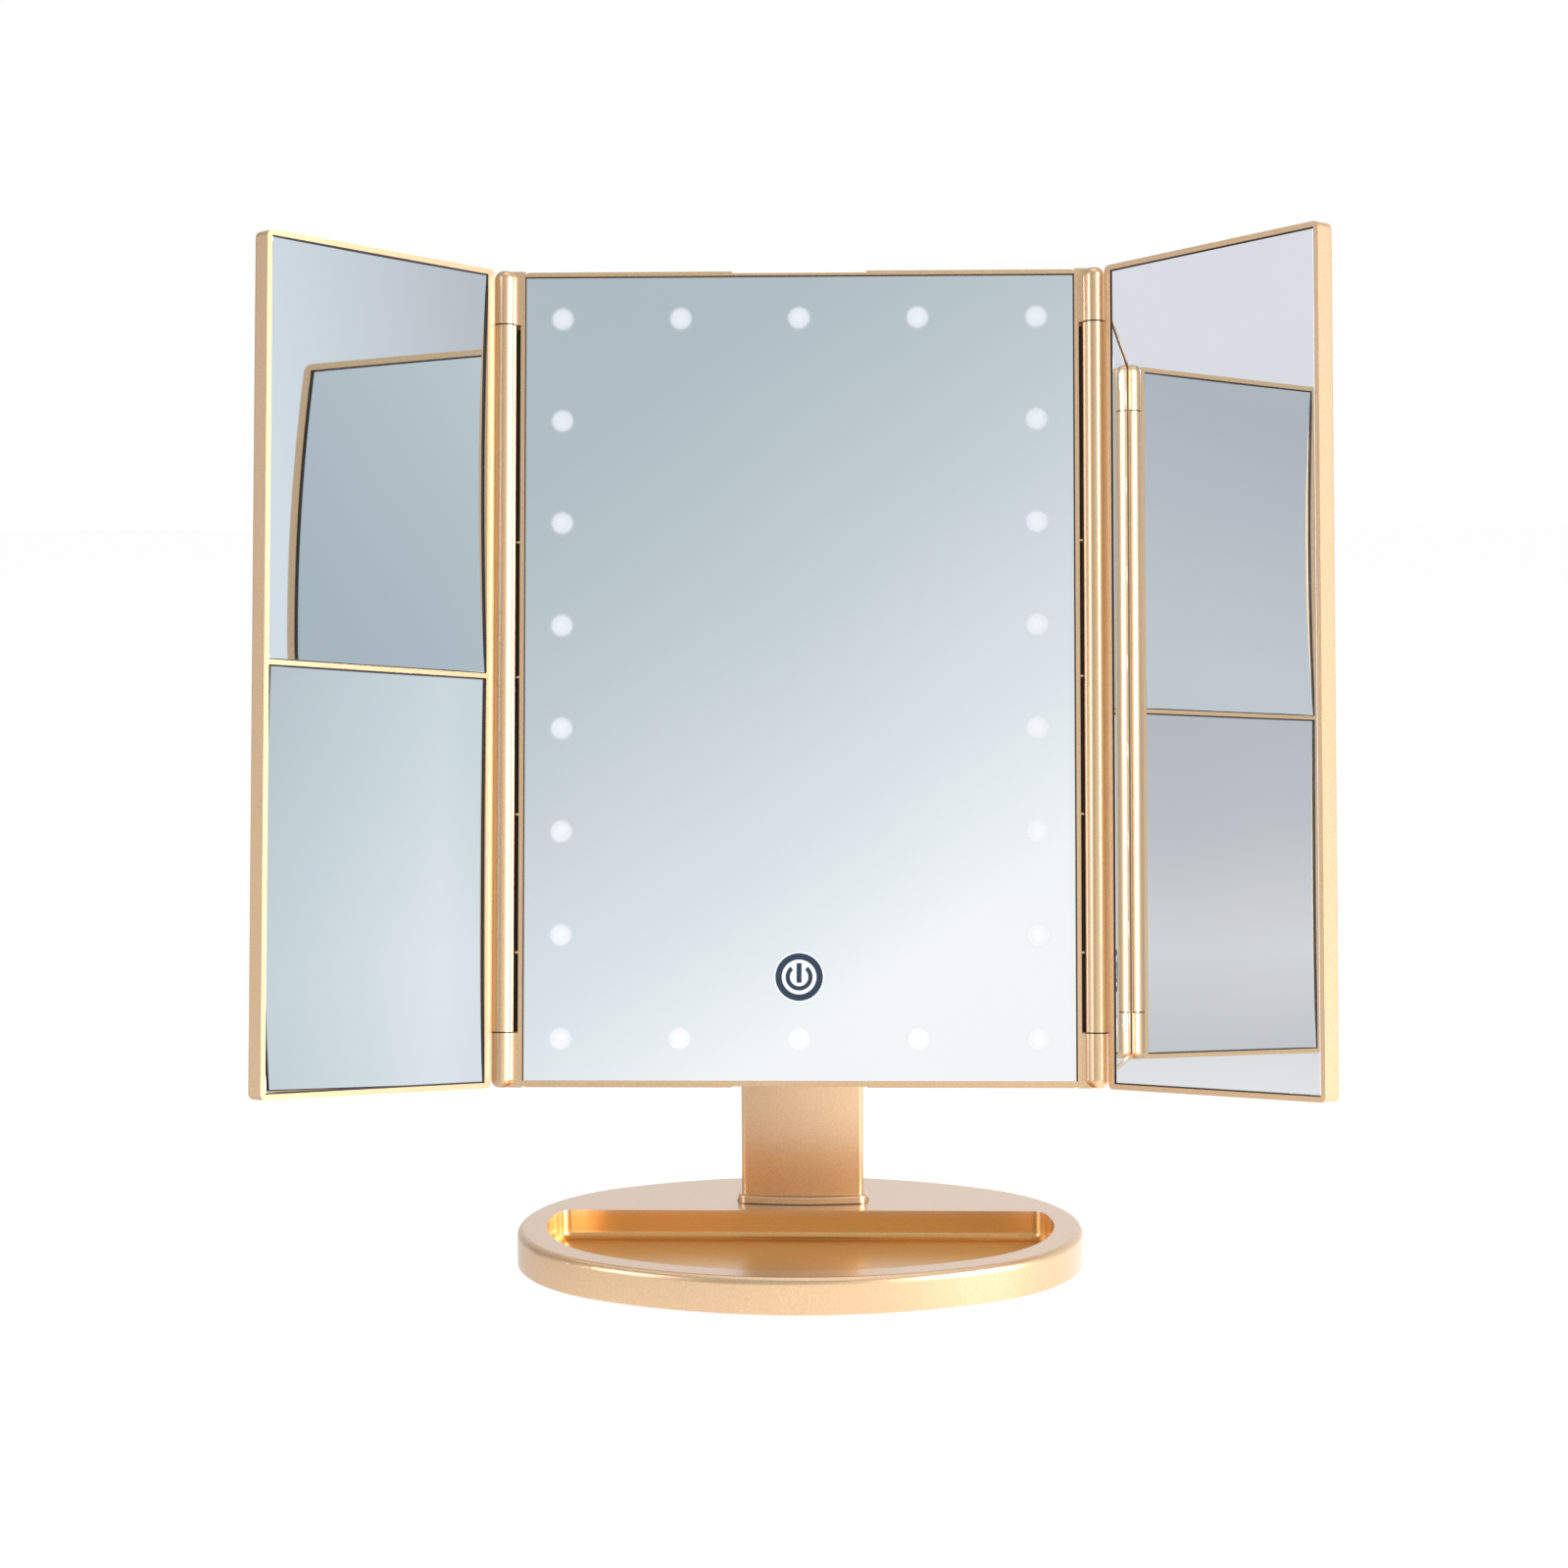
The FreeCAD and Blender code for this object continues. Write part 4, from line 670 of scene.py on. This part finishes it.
def makeFloor():
    # a flat square just under the object; it glows to the camera and in what mirrors it, and takes the shadow
    half = floorPlan["half"]
    x, y = np.meshgrid([-half, half], [-half, half], indexing="ij")
    floor = addMesh("floor", [(np.stack([x, y, 0 * x - floorPlan["drop"]], -1), False, False)])
    finish = Finish("pale_floor")
    finish.tree.nodes.remove(finish.shader)
    path = finish.node("LightPath").outputs
    mirrored = finish.combine("MAXIMUM", path["Is Glossy Ray"], path["Is Transmission Ray"])
    # brighter towards the key lamp, as the metal sees it
    place = finish.node("SeparateXYZ", Vector=finish.coords["Object"]).outputs["X"]
    sheen = finish.ramp(finish.spread(place, 0.0, 1.0, *floorPlan["sheenReach"]),
                        [(stop, grey(level)) for stop, level in floorPlan["sheen"]])
    level = finish.combine("MULTIPLY", mirrored, sheen)
    glow = finish.node("Emission",
                       Strength=finish.combine("MULTIPLY_ADD", path["Is Camera Ray"], floorPlan["glow"], level))
    diffuse = finish.node("BsdfDiffuse", Color=grey(floorPlan["diffuse"]))
    both = finish.node("AddShader")
    finish.feed(both.inputs[0], diffuse.outputs[0])
    finish.feed(both.inputs[1], glow.outputs[0])
    finish.feed(finish.tree.nodes["Material Output"].inputs["Surface"], both.outputs[0])
    floor.data.materials.append(finish.material)


studioPlan = {"ambient": 0.42, "tilt": 0.69,
              "ahead": [(0.05, grey(1.0)), (0.09, grey(1.0)), (0.13, (0.99, 1.0, 1.0)), (0.19, (0.78, 0.83, 0.86)),
                        (0.28, (0.59, 0.65, 0.68)), (0.36, (0.48, 0.55, 0.59))],
              "aheadRight": [(0.13, (0.86, 0.86, 0.85)), (0.147, (0.76, 0.75, 0.76)), (0.165, (0.62, 0.62, 0.64)),
                             (0.182, (0.577, 0.58, 0.60)), (0.227, (0.516, 0.545, 0.586)),
                             (0.283, (0.65, 0.68, 0.71))],
              "flankLeft": (0.34, 0.34, 0.35), "flankRight": (0.74, 0.73, 0.72), "sideLeft": (0.78, 0.78, 0.82),
              "sideRight": [(0.40, (0.53, 0.57, 0.61)), (0.49, (0.72, 0.78, 0.84))],
              "behind": [(0.0, (0.36, 0.35, 0.35)), (0.5, (0.87, 0.89, 0.94)), (1.0, (0.91, 0.92, 0.95))],
              "above": grey(0.48)}
studioEdges = {"aheadRight": (0.053, 0.062), "flanks": (-0.2, 0.2), "sides": (-0.3, 0.3), "toFlank": (0.26, 0.40),
               "toSide": (0.93, 0.972), "toBehind": (0.10, 0.35), "toAbove": (0.42, 0.75)}    # where its parts meet


def makeWorld():
    # white to the camera; metal and glass see a soft studio: white low ahead and grey-blue higher up,
    # a darker left flank, a pale right one, and a pale wall behind
    world = bpy.data.worlds.new("soft_studio")
    scene.world = world
    world.use_nodes = True
    graph = Graph(world.node_tree)
    graph.tree.nodes.clear()

    def meet(value, edge, first, second):
        return graph.blend(graph.ease(value, 0.0, 1.0, *studioEdges[edge]), first, second)

    x, y, z = graph.node("SeparateXYZ", Vector=graph.node("TexCoord").outputs["Generated"]).outputs
    aside = graph.combine("ABSOLUTE", x)
    slope = graph.combine("SUBTRACT", z, graph.combine("MULTIPLY", x, studioPlan["tilt"]))
    ahead = meet(x, "aheadRight", graph.ramp(slope, studioPlan["ahead"]), graph.ramp(z, studioPlan["aheadRight"]))
    flank = meet(x, "flanks", studioPlan["flankLeft"], studioPlan["flankRight"])
    sideRight = graph.ramp(graph.combine("ADD", y, 0.5), studioPlan["sideRight"])    # a ramp reads 0 to 1 only
    side = meet(x, "sides", studioPlan["sideLeft"], sideRight)
    behind = graph.ramp(graph.combine("ADD", graph.combine("MULTIPLY", x, 0.5), 0.5), studioPlan["behind"])
    level = meet(aside, "toFlank", ahead, flank)
    level = meet(aside, "toSide", level, side)
    level = meet(y, "toBehind", level, behind)
    level = meet(z, "toAbove", level, studioPlan["above"])

    path = graph.node("LightPath").outputs
    sharp = graph.combine("MAXIMUM", path["Is Glossy Ray"], path["Is Transmission Ray"])
    colour = graph.blend(sharp, grey(studioPlan["ambient"]), level)
    colour = graph.blend(path["Is Camera Ray"], colour, grey(1.0))
    background = graph.node("Background", Color=colour)
    graph.node("OutputWorld", Surface=background.outputs[0])


def poseMatrix(side, up, back, place):
    pose = np.eye(4)
    pose[:3, :4] = np.stack([side, up, back, np.array(place)], 1)
    return Matrix(pose.tolist())


def unit(vector):
    return vector / np.linalg.norm(vector)


lampPlan = {"key": {"place": (1.04, -0.69, 0.42), "size": (0.66, 1.05), "power": 17.3, "colour": (1.0, 1.02, 1.16)},
            "fill": {"place": (-1.00, -0.70, 0.50), "size": (0.45, 0.90), "power": 3.2, "colour": (1.0, 1.06, 1.26)},
            "top": {"place": (0.10, -0.05, 1.30), "size": (0.90, 0.90), "power": 1.7, "colour": (1.0, 1.03, 1.20)}}
lampAim = np.array([0.0, 0.0, 0.15])
nearlyUp = np.array([0.0, 0.001, 1.0])    # a hair off upright, so that any lamp above still has a side


def makeLamps():
    # each lamp shines at the aim, so its back axis runs from the aim to its place
    for name, plan in lampPlan.items():
        lamp = bpy.data.lights.new(name + "_lamp", "AREA")
        lamp.shape = "RECTANGLE"
        lamp.size, lamp.size_y = plan["size"]
        lamp.energy = plan["power"]
        lamp.color = plan["colour"]
        holder = bpy.data.objects.new(name + "_lamp", lamp)
        scene.collection.objects.link(holder)
        away = unit(np.array(plan["place"]) - lampAim)
        side = unit(np.cross(nearlyUp, away))
        holder.matrix_world = poseMatrix(side, np.cross(away, side), away, plan["place"])


cameraPlan = {"place": (0.02757741, -0.88671662, 0.23779025), "azimuth": 1.902, "elevation": 5.6, "roll": -0.293,
              "lens": 73.3536, "shift": (-0.004475, -0.034228)}


def makeCamera():
    # looks along minus back; side and up are turned by the small roll
    turn, tilt, roll = (math.radians(cameraPlan[key]) for key in ("azimuth", "elevation", "roll"))
    back = np.array([math.sin(turn) * math.cos(tilt), -math.cos(turn) * math.cos(tilt), math.sin(tilt)])
    side = unit(np.cross(-back, [0.0, 0.0, 1.0]))
    up = np.cross(side, -back)
    side, up = math.cos(roll) * side + math.sin(roll) * up, math.cos(roll) * up - math.sin(roll) * side
    lens = bpy.data.cameras.new("camera")
    lens.lens = cameraPlan["lens"]
    lens.shift_x, lens.shift_y = cameraPlan["shift"]
    holder = bpy.data.objects.new("camera", lens)
    scene.collection.objects.link(holder)
    holder.matrix_world = poseMatrix(side, up, back, cameraPlan["place"])
    scene.camera = holder


makeFloor()
makeWorld()
makeLamps()
makeCamera()
print("stage made")
